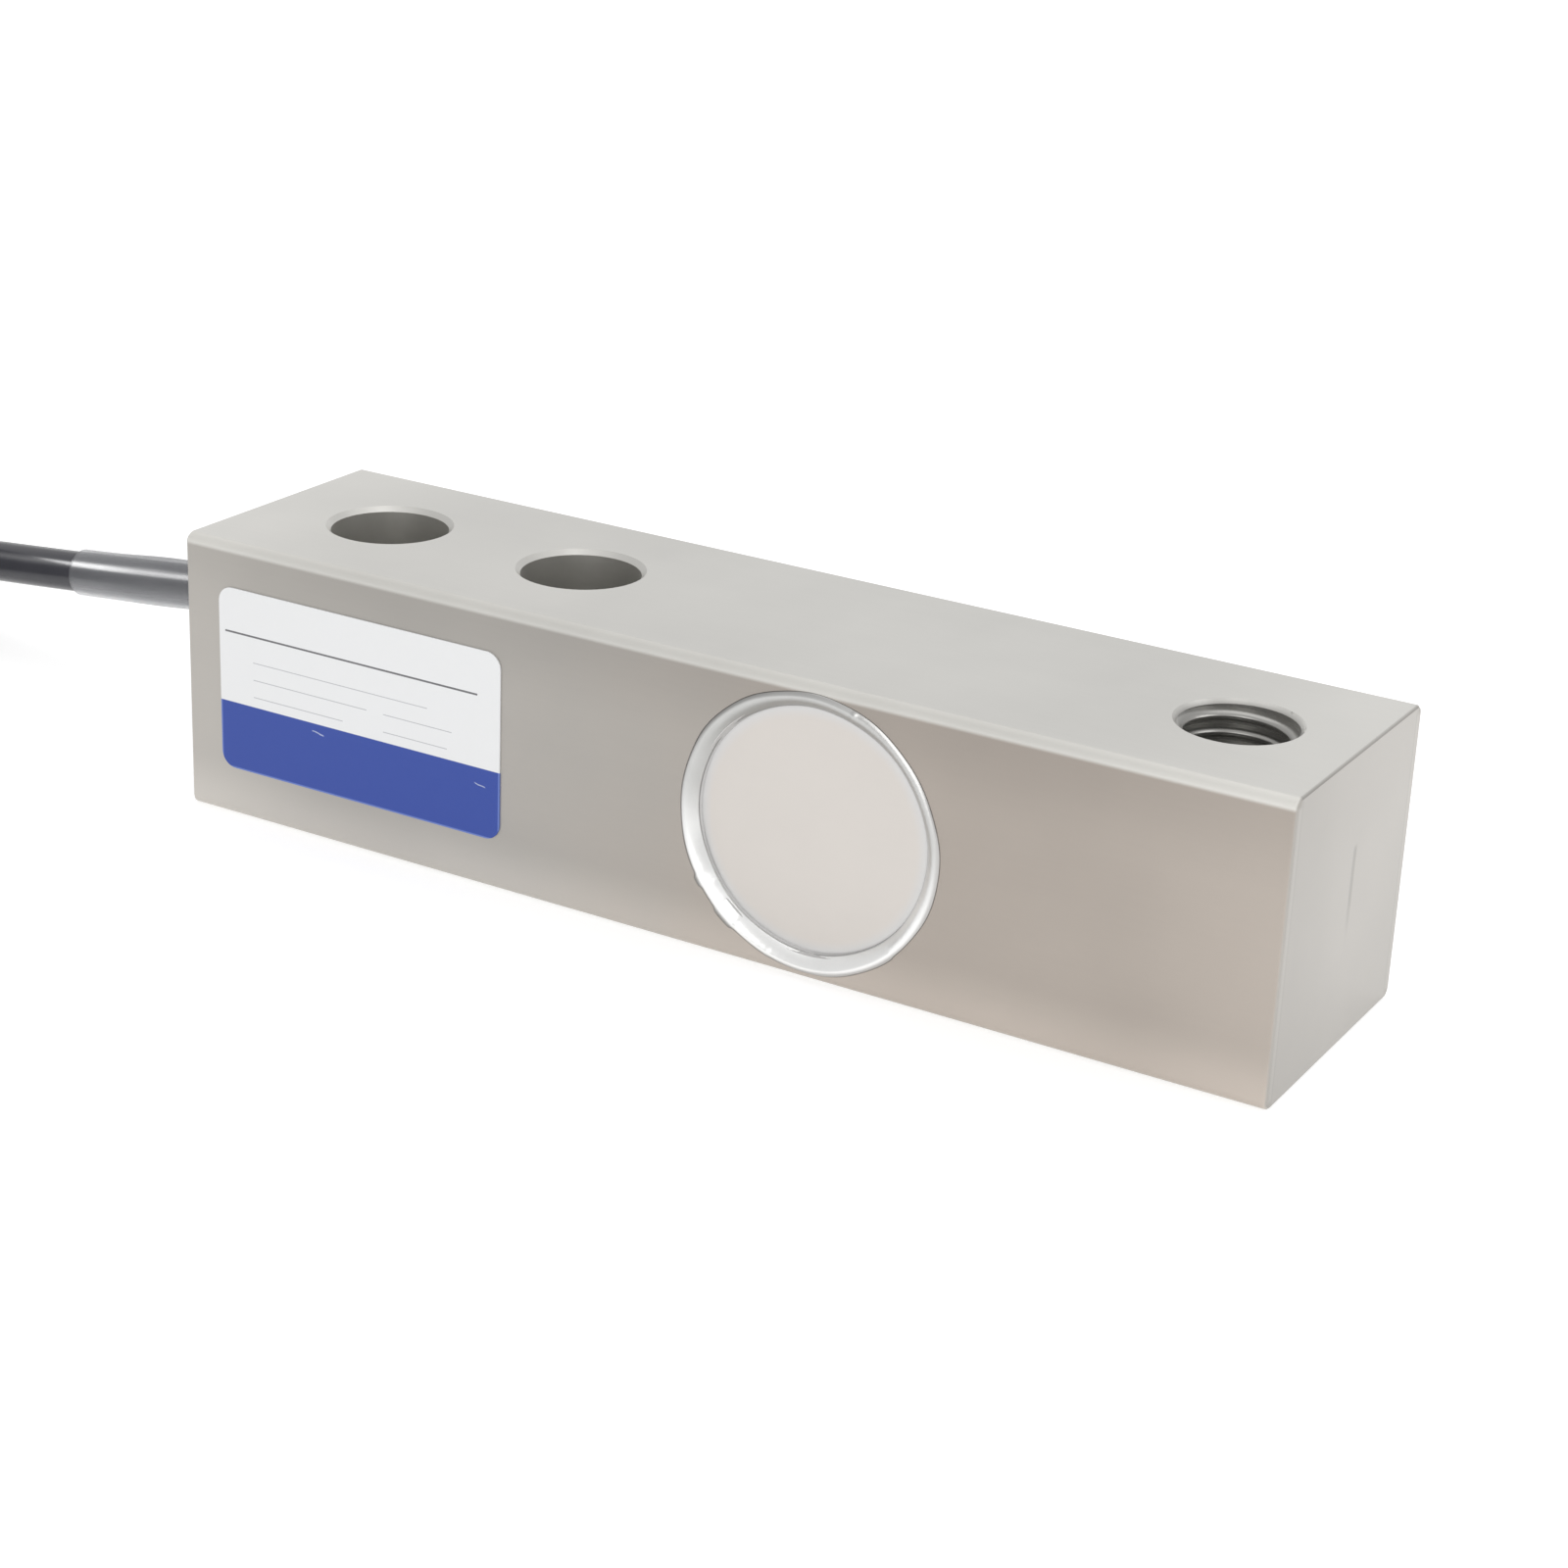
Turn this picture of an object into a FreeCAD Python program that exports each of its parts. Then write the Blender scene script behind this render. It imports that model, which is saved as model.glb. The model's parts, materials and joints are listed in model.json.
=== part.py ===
import FreeCAD, Part
import math
import os
import re
import Sketcher

# Single-ended shear beam load cell. The origin lies under the middle of the bar, on the surface it stands
# on. +X points to the loaded end, the cable leaves towards -X, the labelled side faces -Y and +Z is up.

SIZES = [
    ("bar_length", 130, "bar, end to end"),
    ("bar_width", 31.8, "bar, side to side"),
    ("bar_height", 31.8, "bar, bottom to top"),
    ("bar_edge_round", 1.1, "rounding of the four long edges"),
    ("bar_end_chamfer", 0.25, "broken edge round both end faces"),
    ("bolt_end_distance", 15.7, "cable end face to the first bolt hole"),
    ("bolt_spacing", 25.4, "first to second bolt hole"),
    ("load_distance", 76.2, "second bolt hole to the load hole"),
    ("bolt_hole_radius", 6.5, "plain holes for M12 bolts"),
    ("bolt_hole_chamfer", 0.55, "broken rim of the bolt holes"),
    ("thread_root_radius", 6, "M12 thread, at its root"),
    ("thread_lead_in", 0.45, "countersink of the tapped hole"),
    ("web_thickness", 4, "shear web left between the two pockets"),
    ("pocket_radius", 11.5, "gauge pocket"),
    ("pocket_floor_round", 1.5, "corner between the pocket wall and the web"),
    ("cover_radius", 14, "cover and the seat it is pressed into"),
    ("cover_gauge", 0.6, "sheet thickness of the cover"),
    ("cover_recess", 1.1, "cover floor below the bar's side"),
    ("cover_wall_draft", 0.4, "lean of the cover's rim"),
    ("cover_bend", 0.35, "outer bend between floor and rim"),
    ("weld_prep", 0.5, "bevel of the seat's mouth, filled by the weld"),
    ("weld_reach", 1, "weld toe outside the seat"),
    ("weld_crown_radius", 1, "rounding of the weld bead"),
    ("web_hole_radius", 1.5, "wire hole through the web"),
    ("web_hole_offset", 8, "wire hole from the pocket's axis"),
    ("cut_margin", 1, "how far a cutting profile runs past the face it cuts"),
    ("passage_radius", 2.25, "drilling from the cable end to the rear pocket"),
    ("passage_side_distance", 4.7, "drilling beside the bolt holes, from the bar's rear side"),
    ("entry_radius", 3.6, "counterbore for the cable entry"),
    ("bush_length", 8, "cable entry bush"),
    ("bush_mouth_chamfer", 0.5, "mouth of the bush"),
    ("seal_length", 3, "potting plug behind the bush"),
    ("fit_gap", 0.05, "clearance round wires and sleeves"),
    ("cable_radius", 2.5, "jacket of the cable"),
    ("sleeve_wall", 0.35, "wall of the clear sleeve and of the end sleeve"),
    ("core_radius", 0.5, "insulated core"),
    ("core_offset", 0.55, "core centre from the cable's axis, both ways"),
    ("gauge_length", 10, "strain gauge carrier along the bar"),
    ("gauge_height", 8, "strain gauge carrier across the bar"),
    ("gauge_thickness", 0.12, "strain gauge carrier"),
    ("foil_thickness", 0.05, "foil grids and tabs on the carrier"),
    ("grid_length", 3, "foil grid along its strands"),
    ("grid_width", 2.2, "foil grid across its strands"),
    ("grid_offset", 2.4, "foil grid from the gauge's middle"),
    ("tab_size", 1.2, "solder tab of the gauge"),
    ("tab_pitch", 3, "solder tab spacing"),
    ("strip_length", 8.4, "front terminal strip"),
    ("strip_width", 2.4, "front terminal strip"),
    ("strip_thickness", 0.6, "front terminal strip"),
    ("strip_offset", 7.4, "terminal strip below the gauge's middle"),
    ("pad_radius", 0.7, "solder pad"),
    ("pad_height", 0.3, "solder pad"),
    ("pad_pitch", 2, "solder pad spacing"),
    ("board_radius", 9.6, "compensation board"),
    ("board_thickness", 1, "compensation board"),
    ("board_height", 4, "board above the web, the length of its spacers"),
    ("board_pad_offset", 5, "row of lead pads from the board's middle"),
    ("spacer_radius", 1.1, "board spacer"),
    ("spacer_circle", 8, "board spacers from the pocket's axis"),
    ("chip_length", 2, "compensation resistor"),
    ("chip_width", 1.25, "compensation resistor"),
    ("chip_height", 0.6, "compensation resistor"),
    ("chip_pitch", 2.6, "compensation resistor spacing"),
    ("wire_radius", 0.25, "jumper wires and gauge leads"),
    ("lead_bend_distance", 11, "gauge's middle to the end of the lead wires' straight run"),
    ("lead_turn_distance", 3.2, "pad row to the lead wires' turn towards their pads"),
    ("lead_hump", 0.3, "lead wires' last corner beside their straight run"),
    ("jumper_spacing", 0.7, "jumper wires side by side in the web hole"),
    ("jumper_rise", 1.2, "first jumper wire's hump above the strip's pads"),
    ("jumper_step", 0.7, "each following jumper wire's hump above the last one"),
    ("label_length", 37.4, "rating label along the bar"),
    ("label_height", 21, "rating label"),
    ("label_thickness", 0.15, "rating label"),
    ("label_corner", 1.8, "corner of the rating label"),
    ("label_end_distance", 4.6, "cable end face to the label"),
    ("label_lift", 5.8, "bar's bottom to the label"),
    ("hank_gap", 60, "cable end face to the hank"),
    ("hank_middle", -15.5, "hank's middle line, across the bar"),
    ("hank_run", 61, "straight sides of the hank"),
    ("fold_radius", 15, "innermost strand round the hank's end"),
    ("strand_pitch", 5.05, "strand to strand"),
    ("strand_columns", 4, "strands side by side"),
    ("strand_layers", 6, "strands on each other"),
    ("tie_width", 3.6, "cable tie"),
    ("tie_gauge", 1.2, "thickness of the tie's band"),
    ("tie_head_length", 5.4, "head of the tie, across the bundle"),
    ("tie_head_width", 4.8, "head of the tie, along the bundle"),
    ("tie_head_height", 3.6, "head of the tie, above the bundle"),
    ("end_sleeve_length", 10, "shrink sleeve at the stripped end"),
    ("end_sleeve_lap", 3, "shrink sleeve over the jacket"),
]

doc = FreeCAD.newDocument("load_cell")
sheet = doc.addObject("Spreadsheet::Sheet", "sizes")
for row, (alias, size, note) in enumerate(SIZES, 1):
    sheet.set(f"A{row}", alias)
    sheet.set(f"B{row}", str(size))
    sheet.set(f"C{row}", note)
    sheet.setAlias(f"B{row}", alias)
doc.recompute()
ALIASES = {alias for alias, _, _ in SIZES}
SAME = 1e-6

# Places that several pieces share, along the bar.
CABLE_END = "(-bar_length / 2)"
BOLT_X = f"({CABLE_END} + bolt_end_distance)"
LOAD_X = f"({BOLT_X} + bolt_spacing + load_distance)"
GAUGE_X = f"({BOLT_X} + bolt_spacing + load_distance / 2)"
SIDE = "(bar_width / 2)"
MIDDLE = "(bar_height / 2)"
WEB_SIDE = "(web_thickness / 2)"
BOARD_TOP = f"({WEB_SIDE} + board_height + board_thickness)"
PASSAGE_Y = f"({SIDE} - passage_side_distance)"
BUSH_INNER_END = f"({CABLE_END} + bush_length)"
SLEEVE_RADIUS = "(cable_radius + sleeve_wall)"
# The hank: its strands' outer face, its end next to the bar, the two fold centres and its height.
HANK_OUTER = "(fold_radius + (strand_columns - 1) * strand_pitch + cable_radius)"
HANK_INNER = "(fold_radius - cable_radius)"
HANK_NEAR = f"({CABLE_END} - hank_gap)"
NEAR_FOLD = f"({HANK_NEAR} - {HANK_OUTER})"
FAR_FOLD = f"({NEAR_FOLD} - hank_run)"
HANK_HEIGHT = "((strand_layers - 1) * strand_pitch + 2 * cable_radius)"


def full(text):
    """The expression with each size's alias looked up in the sheet."""
    def looked_up(word):
        return f"sizes.{word[0]}" if word[0] in ALIASES else word[0]

    return re.sub(r"[a-z_]+", looked_up, str(text))


def value(text):
    """The expression's number, for shapes that are made from numbers."""
    return float(sheet.evalExpression(full(text)))


def tie(thing, **expressions):
    """Bind properties of an object to expressions."""
    for name, text in expressions.items():
        thing.setExpression(name, full(text))


def place(thing, x="0", y="0", z="0", turn=(0, 0, 1, 0)):
    """Put an object at x, y, z, turned by (axis x, y, z, degrees)."""
    rotation = FreeCAD.Rotation(FreeCAD.Vector(*turn[:3]), turn[3])
    thing.Placement = FreeCAD.Placement(FreeCAD.Vector(), rotation)
    for name, text in (("x", x), ("y", y), ("z", z)):
        thing.setExpression(f".Placement.Base.{name}", full(text))


def new_body(name):
    body = doc.addObject("PartDesign::Body", name)
    body.Label = name
    body.AllowCompound = True
    return body


def origin_feature(body, role):
    return next(item for item in body.Origin.OriginFeatures if item.Role == role)


def new_sketch(body, name, plane, offset=("0", "0", "0")):
    """A sketch on one of the body's own planes, moved by an offset in the sketch's own directions."""
    sketch = body.newObject("Sketcher::SketchObject", name)
    sketch.AttachmentSupport = [(origin_feature(body, plane), "")]
    sketch.MapMode = "FlatFace"
    for axis, text in zip("xyz", offset):
        sketch.setExpression(f".AttachmentOffset.Base.{axis}", full(text))
    return sketch


def measure(sketch, kind, *reference, size):
    """A dimension of the sketch, bound to an expression."""
    index = sketch.addConstraint(Sketcher.Constraint(kind, *reference, value(size)))
    sketch.setExpression(f"Constraints[{index}]", full(size))


def starts_at(arc, point):
    """Whether the arc's own start, rather than its end, lies on the point."""
    return arc.StartPoint.distanceToPoint(point) < arc.EndPoint.distanceToPoint(point)


def outline(sketch, corners):
    """A closed outline. A corner is (x, y), or (x, y, radius) where an arc leads on to the next corner.

    The arcs bulge to the right of the way along the outline."""
    first = sketch.GeometryCount
    points = [FreeCAD.Vector(value(corner[0]), value(corner[1]), 0) for corner in corners]
    for start, end, corner in zip(points, points[1:] + points[:1], corners):
        if len(corner) == 2:
            sketch.addGeometry(Part.LineSegment(start, end))
            continue
        chord = end - start
        right = FreeCAD.Vector(chord.y, -chord.x, 0).normalize()
        radius = value(corner[2])
        rise = radius - math.sqrt(max(radius**2 - (chord.Length / 2) ** 2, 0))
        sketch.addGeometry(Part.Arc(start, (start + end) * 0.5 + right * rise, end))
    begins = [
        1 if starts_at(sketch.Geometry[first + index], point) else 2 for index, point in enumerate(points)
    ]
    for index, corner in enumerate(corners):
        here = first + index
        following = (index + 1) % len(corners)
        link = (here, 3 - begins[index], first + following, begins[following])
        sketch.addConstraint(Sketcher.Constraint("Coincident", *link))
        measure(sketch, "DistanceX", -1, 1, here, begins[index], size=corner[0])
        measure(sketch, "DistanceY", -1, 1, here, begins[index], size=corner[1])
        if len(corner) > 2:
            measure(sketch, "Radius", here, size=corner[2])
    return sketch


def rectangle(sketch, x0, y0, x1, y1):
    return outline(sketch, [(x0, y0), (x1, y0), (x1, y1), (x0, y1)])


def rounded_rectangle(sketch, x0, y0, x1, y1, radius):
    return outline(sketch, [
        (f"{x0} + {radius}", y0), (f"{x1} - {radius}", y0, radius),
        (x1, f"{y0} + {radius}"), (x1, f"{y1} - {radius}", radius),
        (f"{x1} - {radius}", y1), (f"{x0} + {radius}", y1, radius),
        (x0, f"{y1} - {radius}"), (x0, f"{y0} + {radius}", radius),
    ])


def circle(sketch, x, y, radius):
    middle = FreeCAD.Vector(value(x), value(y), 0)
    index = sketch.addGeometry(Part.Circle(middle, FreeCAD.Vector(0, 0, 1), value(radius)))
    measure(sketch, "DistanceX", -1, 1, index, 3, size=x)
    measure(sketch, "DistanceY", -1, 1, index, 3, size=y)
    measure(sketch, "Radius", index, size=radius)
    return sketch


def feature(body, kind, name, profile, **expressions):
    made = body.newObject(f"PartDesign::{kind}", name)
    made.Profile = profile
    tie(made, **expressions)
    return made


def turned(body, kind, name, profile):
    """A Revolution or Groove once round the vertical axis of its sketch."""
    made = feature(body, kind, name, profile)
    made.ReferenceAxis = (profile, ["V_Axis"])
    made.Angle = 360
    return made


def dressed(body, kind, name, wanted, **expressions):
    """A Fillet or Chamfer of the edges of the body so far that pass the test."""
    doc.recompute()
    base = body.Tip
    edges = [f"Edge{index}" for index, edge in enumerate(base.Shape.Edges, 1) if wanted(edge)]
    made = body.newObject(f"PartDesign::{kind}", name)
    made.Base = (base, edges)
    tie(made, **expressions)
    return made


def tube_wire(points):
    """Straight runs joined by tangent arcs that use 0.45 of the shorter run on each side; the radii too."""
    corners = [FreeCAD.Vector(*point) for point in points]
    edges, radii, start = [], [], corners[0]
    for before, corner, after in zip(corners, corners[1:], corners[2:]):
        back, ahead = before - corner, after - corner
        half_turn = (math.pi - back.getAngle(ahead)) / 2
        reach = 0.45 * min(back.Length, ahead.Length)
        back.normalize()
        ahead.normalize()
        radius = reach / math.tan(half_turn)
        sagitta = radius / math.cos(half_turn) - radius
        top = corner + (back + ahead).normalize() * sagitta
        edges.append(Part.LineSegment(start, corner + back * reach).toShape())
        edges.append(Part.Arc(corner + back * reach, top, corner + ahead * reach).toShape())
        start = corner + ahead * reach
        radii.append(radius)
    edges.append(Part.LineSegment(start, corners[-1]).toShape())
    return edges, radii


def tube(name, points, radius, edge_count=None):
    """A round tube along the points; edge_count keeps only that many of its runs and arcs."""
    edges, radii = tube_wire(points)
    path = Part.Wire(edges[:edge_count])
    start = FreeCAD.Vector(*points[0])
    ring = Part.Wire(Part.makeCircle(radius, start, FreeCAD.Vector(*points[1]) - start))
    shape = path.makePipeShell([ring], True, False)
    share = shape.Volume / (math.pi * radius**2 * path.Length)
    bends = f"bends {min(radii):.1f} to {max(radii):.0f}"
    print(f"{name}: length {path.Length:.1f}, {bends}, volume to expected {share:.4f}")
    return shape


def plain(name, shape):
    """A sub-part whose shape is worked out here."""
    made = doc.addObject("Part::Feature", name)
    made.Label = name
    made.Shape = shape
    return made


# Beam: milled from square bar. The two pockets leave a thin web that shears under load and carries the
# gauges.
beam = new_body("beam")
section = new_sketch(beam, "section", "YZ_Plane", ("0", "0", CABLE_END))
rectangle(section, f"-{SIDE}", "0", SIDE, "bar_height")
feature(beam, "Pad", "bar", section, Length="bar_length")


def runs_along(edge):
    return edge.Length > value("bar_length") * 0.9


def on_end_face(edge):
    return abs(abs(edge.CenterOfMass.x) - value("bar_length") / 2) < SAME


dressed(beam, "Fillet", "long_edges", runs_along, Radius="bar_edge_round")
dressed(beam, "Chamfer", "end_edges", on_end_face, Size="bar_end_chamfer")


def drilled(name, x, radius, chamfer):
    """A vertical hole right through the bar, with a 45 degree chamfer at both rims."""
    wide = f"{radius} + {chamfer} + cut_margin"
    sketch = new_sketch(beam, f"{name}_section", "XZ_Plane", (x, "0", "0"))
    outline(sketch, [
        ("0", "-cut_margin"), (wide, "-cut_margin"), (radius, chamfer),
        (radius, f"bar_height - {chamfer}"), (wide, "bar_height + cut_margin"),
        ("0", "bar_height + cut_margin"),
    ])
    return turned(beam, "Groove", name, sketch)


bolt_hole = drilled("bolt_hole", BOLT_X, "bolt_hole_radius", "bolt_hole_chamfer")
doc.recompute()
bolt_holes = beam.newObject("PartDesign::LinearPattern", "bolt_holes")
bolt_holes.Originals = [bolt_hole]
bolt_holes.Direction = (origin_feature(beam, "X_Axis"), [""])
bolt_holes.Occurrences = 2
tie(bolt_holes, Length="bolt_spacing")
beam.Tip = bolt_holes
drilled("load_hole", LOAD_X, "thread_root_radius", "thread_lead_in")

pocket_sketch = new_sketch(beam, "pocket_section", "XY_Plane", (GAUGE_X, "0", MIDDLE))
SHOULDER = f"{SIDE} - cover_recess - cover_gauge"
outline(pocket_sketch, [
    ("0", WEB_SIDE), ("pocket_radius - pocket_floor_round", WEB_SIDE, "pocket_floor_round"),
    ("pocket_radius", f"{WEB_SIDE} + pocket_floor_round"), ("pocket_radius", SHOULDER),
    ("cover_radius", SHOULDER), ("cover_radius", f"{SIDE} - weld_prep"),
    ("cover_radius + weld_prep + cut_margin", f"{SIDE} + cut_margin"), ("0", f"{SIDE} + cut_margin"),
])
rear_pocket = turned(beam, "Groove", "rear_pocket", pocket_sketch)
doc.recompute()
both_pockets = beam.newObject("PartDesign::Mirrored", "front_pocket")
both_pockets.Originals = [rear_pocket]
both_pockets.MirrorPlane = (origin_feature(beam, "XZ_Plane"), [""])
beam.Tip = both_pockets

web_hole_start = (GAUGE_X, MIDDLE, f"-{WEB_SIDE} - cut_margin")
web_hole_sketch = new_sketch(beam, "web_hole_circle", "XZ_Plane", web_hole_start)
circle(web_hole_sketch, "-web_hole_offset", "0", "web_hole_radius")
web_hole = feature(beam, "Pocket", "web_hole", web_hole_sketch, Length="web_thickness + 2 * cut_margin")
web_hole.Reversed = True


def end_drilling(name, radius, end_x):
    """A drilling from the cable end face to end_x, beside the bolt holes."""
    sketch = new_sketch(beam, f"{name}_circle", "YZ_Plane", ("0", "0", f"{CABLE_END} - cut_margin"))
    circle(sketch, PASSAGE_Y, MIDDLE, radius)
    made = feature(beam, "Pocket", name, sketch, Length=f"{end_x} - {CABLE_END} + cut_margin")
    made.Reversed = True


end_drilling("wire_passage", "passage_radius", f"{GAUGE_X} - pocket_radius / 2")
end_drilling("entry_counterbore", "entry_radius", f"{BUSH_INNER_END} + seal_length")

TAB_ROW = "(tab_size * 0.75 - gauge_height / 2)"

# Covers and weld beads, the same on both sides. Their own z axis points out of the bar's side.
SIDES = {
    "front": (f"-{SIDE}", f"-{WEB_SIDE}", (1, 0, 0, 90)),
    "rear": (SIDE, WEB_SIDE, (1, 0, 0, -90)),
}
for side, (face_y, web_y, outward) in SIDES.items():
    cover = new_body(f"{side}_cover")
    cover_floor = "(-cover_recess)"
    cover_back = "(-cover_recess - cover_gauge)"
    rim = "(cover_radius - cover_gauge)"
    outline(new_sketch(cover, f"{side}_cover_section", "XZ_Plane"), [
        ("0", cover_back), ("cover_radius - cover_bend", cover_back, "cover_bend"),
        ("cover_radius", f"{cover_back} + cover_bend"), ("cover_radius", "-weld_prep"),
        (rim, "-weld_prep"), (f"{rim} - cover_wall_draft", cover_floor), ("0", cover_floor),
    ])
    turned(cover, "Revolution", f"{side}_cover_turned", doc.getObject(f"{side}_cover_section"))
    place(cover, GAUGE_X, face_y, MIDDLE, outward)

    bead = new_body(f"{side}_weld_bead")
    outline(new_sketch(bead, f"{side}_bead_section", "XZ_Plane"), [
        ("cover_radius", "-weld_prep"), ("cover_radius + weld_prep", "0"),
        ("cover_radius + weld_reach", "0", "weld_crown_radius"), (rim, "-weld_prep"),
    ])
    turned(bead, "Revolution", f"{side}_bead_turned", doc.getObject(f"{side}_bead_section"))
    place(bead, GAUGE_X, face_y, MIDDLE, outward)

    # A shear gauge: two foil grids at 45 degrees to the bar, with three solder tabs below them.
    gauge = new_body(f"{side}_strain_gauge")
    carrier = new_sketch(gauge, f"{side}_carrier", "XY_Plane")
    rectangle(carrier, "-gauge_length / 2", "-gauge_height / 2", "gauge_length / 2", "gauge_height / 2")
    feature(gauge, "Pad", f"{side}_carrier_pad", carrier, Length="gauge_thickness")
    foil = new_sketch(gauge, f"{side}_foil", "XY_Plane", ("0", "0", "gauge_thickness"))
    along, across = "grid_length * sqrt(0.5) / 2", "grid_width * sqrt(0.5) / 2"
    for lean in (1, -1):
        outline(foil, [
            (
                f"{lean} * (grid_offset + {u} * {along} - {v} * {across})",
                f"gauge_height / 8 + {u} * {along} + {v} * {across}",
            )
            for u, v in ((-1, -1), (1, -1), (1, 1), (-1, 1))
        ])
    for count in (-1, 0, 1):
        left, low = f"({count} * tab_pitch - tab_size / 2)", f"({TAB_ROW} - tab_size / 2)"
        rectangle(foil, left, low, f"{left} + tab_size", f"{low} + tab_size")
    feature(gauge, "Pad", f"{side}_foil_pad", foil, Length="foil_thickness")
    place(gauge, GAUGE_X, web_y, MIDDLE, outward)

# Front terminal strip, on the web below the gauge, with four solder pads.
strip = new_body("front_terminal_strip")
strip_sketch = new_sketch(strip, "strip_outline", "XY_Plane")
rectangle(strip_sketch, "-strip_length / 2", "-strip_width / 2", "strip_length / 2", "strip_width / 2")
feature(strip, "Pad", "strip_plate", strip_sketch, Length="strip_thickness")
pads = new_sketch(strip, "strip_pads", "XY_Plane", ("0", "0", "strip_thickness"))
for count in range(4):
    circle(pads, f"({count} - 1.5) * pad_pitch", "0", "pad_radius")
feature(strip, "Pad", "strip_pad_discs", pads, Length="pad_height")
place(strip, GAUGE_X, f"-{WEB_SIDE}", f"{MIDDLE} - strip_offset", (1, 0, 0, 90))

# Compensation board in the rear pocket, on three spacers; its own y axis points down on the bar.
REAR_TURN = SIDES["rear"][2]
board = new_body("compensation_board")
board_sketch = new_sketch(board, "board_outline", "XY_Plane")
circle(board_sketch, "0", "0", "board_radius")
feature(board, "Pad", "board_plate", board_sketch, Length="board_thickness")
board_pads = new_sketch(board, "board_pads", "XY_Plane", ("0", "0", "board_thickness"))
for count in range(4):
    circle(board_pads, "-board_pad_offset", f"({count} - 1.5) * pad_pitch", "pad_radius")
feature(board, "Pad", "board_pad_discs", board_pads, Length="pad_height")
place(board, GAUGE_X, f"{WEB_SIDE} + board_height", MIDDLE, REAR_TURN)

spacers = new_body("board_spacers")
spacer_sketch = new_sketch(spacers, "spacer_circles", "XY_Plane")
for angle in (90, 210, 330):
    spot = (f"spacer_circle * cos({angle} deg)", f"spacer_circle * sin({angle} deg)")
    circle(spacer_sketch, *spot, "spacer_radius")
feature(spacers, "Pad", "spacer_posts", spacer_sketch, Length="board_height")
place(spacers, GAUGE_X, WEB_SIDE, MIDDLE, REAR_TURN)

chips = new_body("compensation_resistors")
chip_sketch = new_sketch(chips, "chip_outlines", "XY_Plane")
for count in range(4):
    low = f"(({count} - 1.5) * chip_pitch - chip_width / 2)"
    rectangle(chip_sketch, "chip_length", low, "2 * chip_length", f"{low} + chip_width")
feature(chips, "Pad", "chip_blocks", chip_sketch, Length="chip_height")
place(chips, GAUGE_X, BOARD_TOP, MIDDLE, REAR_TURN)

# Cable entry: a pressed bush flush with the end face, and the potting plug behind it, cast round the cores.
bush = new_body("cable_entry_bush")
bush_bore = f"{SLEEVE_RADIUS} + fit_gap"
bush_sketch = new_sketch(bush, "bush_section", "XZ_Plane")
outline(bush_sketch, [
    (f"{bush_bore} + bush_mouth_chamfer", "0"), ("entry_radius", "0"), ("entry_radius", "bush_length"),
    (bush_bore, "bush_length"), (bush_bore, "bush_mouth_chamfer"),
])
turned(bush, "Revolution", "bush_turned", bush_sketch)
place(bush, CABLE_END, PASSAGE_Y, MIDDLE, (0, 1, 0, 90))

seal = new_body("entry_seal")
seal_sketch = new_sketch(seal, "seal_section", "YZ_Plane")
circle(seal_sketch, "0", "0", "entry_radius")
CORES = {"green": (1, -1), "white": (-1, -1), "black": (-1, 1), "red": (1, 1)}
for across, up in CORES.values():
    circle(seal_sketch, f"{across} * core_offset", f"{up} * core_offset", "core_radius + fit_gap / 2")
feature(seal, "Pad", "seal_plug", seal_sketch, Length="seal_length")
place(seal, BUSH_INNER_END, PASSAGE_Y, MIDDLE)

# Rating label on the front side.
label = new_body("rating_label")
label_sketch = new_sketch(label, "label_outline", "XZ_Plane")
rounded_rectangle(label_sketch, "0", "0", "label_length", "label_height", "label_corner")
feature(label, "Pad", "label_sheet", label_sketch, Length="label_thickness")
place(label, f"{CABLE_END} + label_end_distance", f"-{SIDE}", "label_lift")

# Gauge leads: three pins from the rear gauge's solder tabs up to the board.
leads = new_body("gauge_leads")
lead_sketch = new_sketch(leads, "lead_circles", "XY_Plane")
for count in (-1, 0, 1):
    circle(lead_sketch, f"{count} * tab_pitch", TAB_ROW, "wire_radius")
feature(leads, "Pad", "lead_pins", lead_sketch, Length="board_height - gauge_thickness - foil_thickness")
place(leads, GAUGE_X, f"{WEB_SIDE} + gauge_thickness + foil_thickness", MIDDLE, REAR_TURN)

# Lead wires: from the cable's inner end through the passage to the row of pads on the board.
gauge_x, middle_z, exit_x, exit_y = value(GAUGE_X), value(MIDDLE), value(CABLE_END), value(PASSAGE_Y)
web_y, board_y = value(WEB_SIDE), value(f"{WEB_SIDE} + board_height")
spread, pitch = value("core_offset"), value("pad_pitch")
pad_x, pad_y = gauge_x - value("board_pad_offset"), value(f"{BOARD_TOP} + pad_height")
for order, (colour, (across, up)) in enumerate(CORES.items()):
    start_y, start_z = exit_y + across * spread, middle_z + up * spread
    pad_z = middle_z + (order - 1.5) * pitch
    plain(f"lead_wire_{colour}", tube(f"lead_wire_{colour}", [
        (value(BUSH_INNER_END), start_y, start_z),
        (gauge_x - value("lead_bend_distance"), start_y, start_z),
        (pad_x - value("lead_turn_distance"), start_y, (start_z + pad_z) / 2),
        (pad_x, start_y - value("lead_hump"), pad_z),
        (pad_x, pad_y, pad_z),
    ], value("core_radius")))

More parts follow.
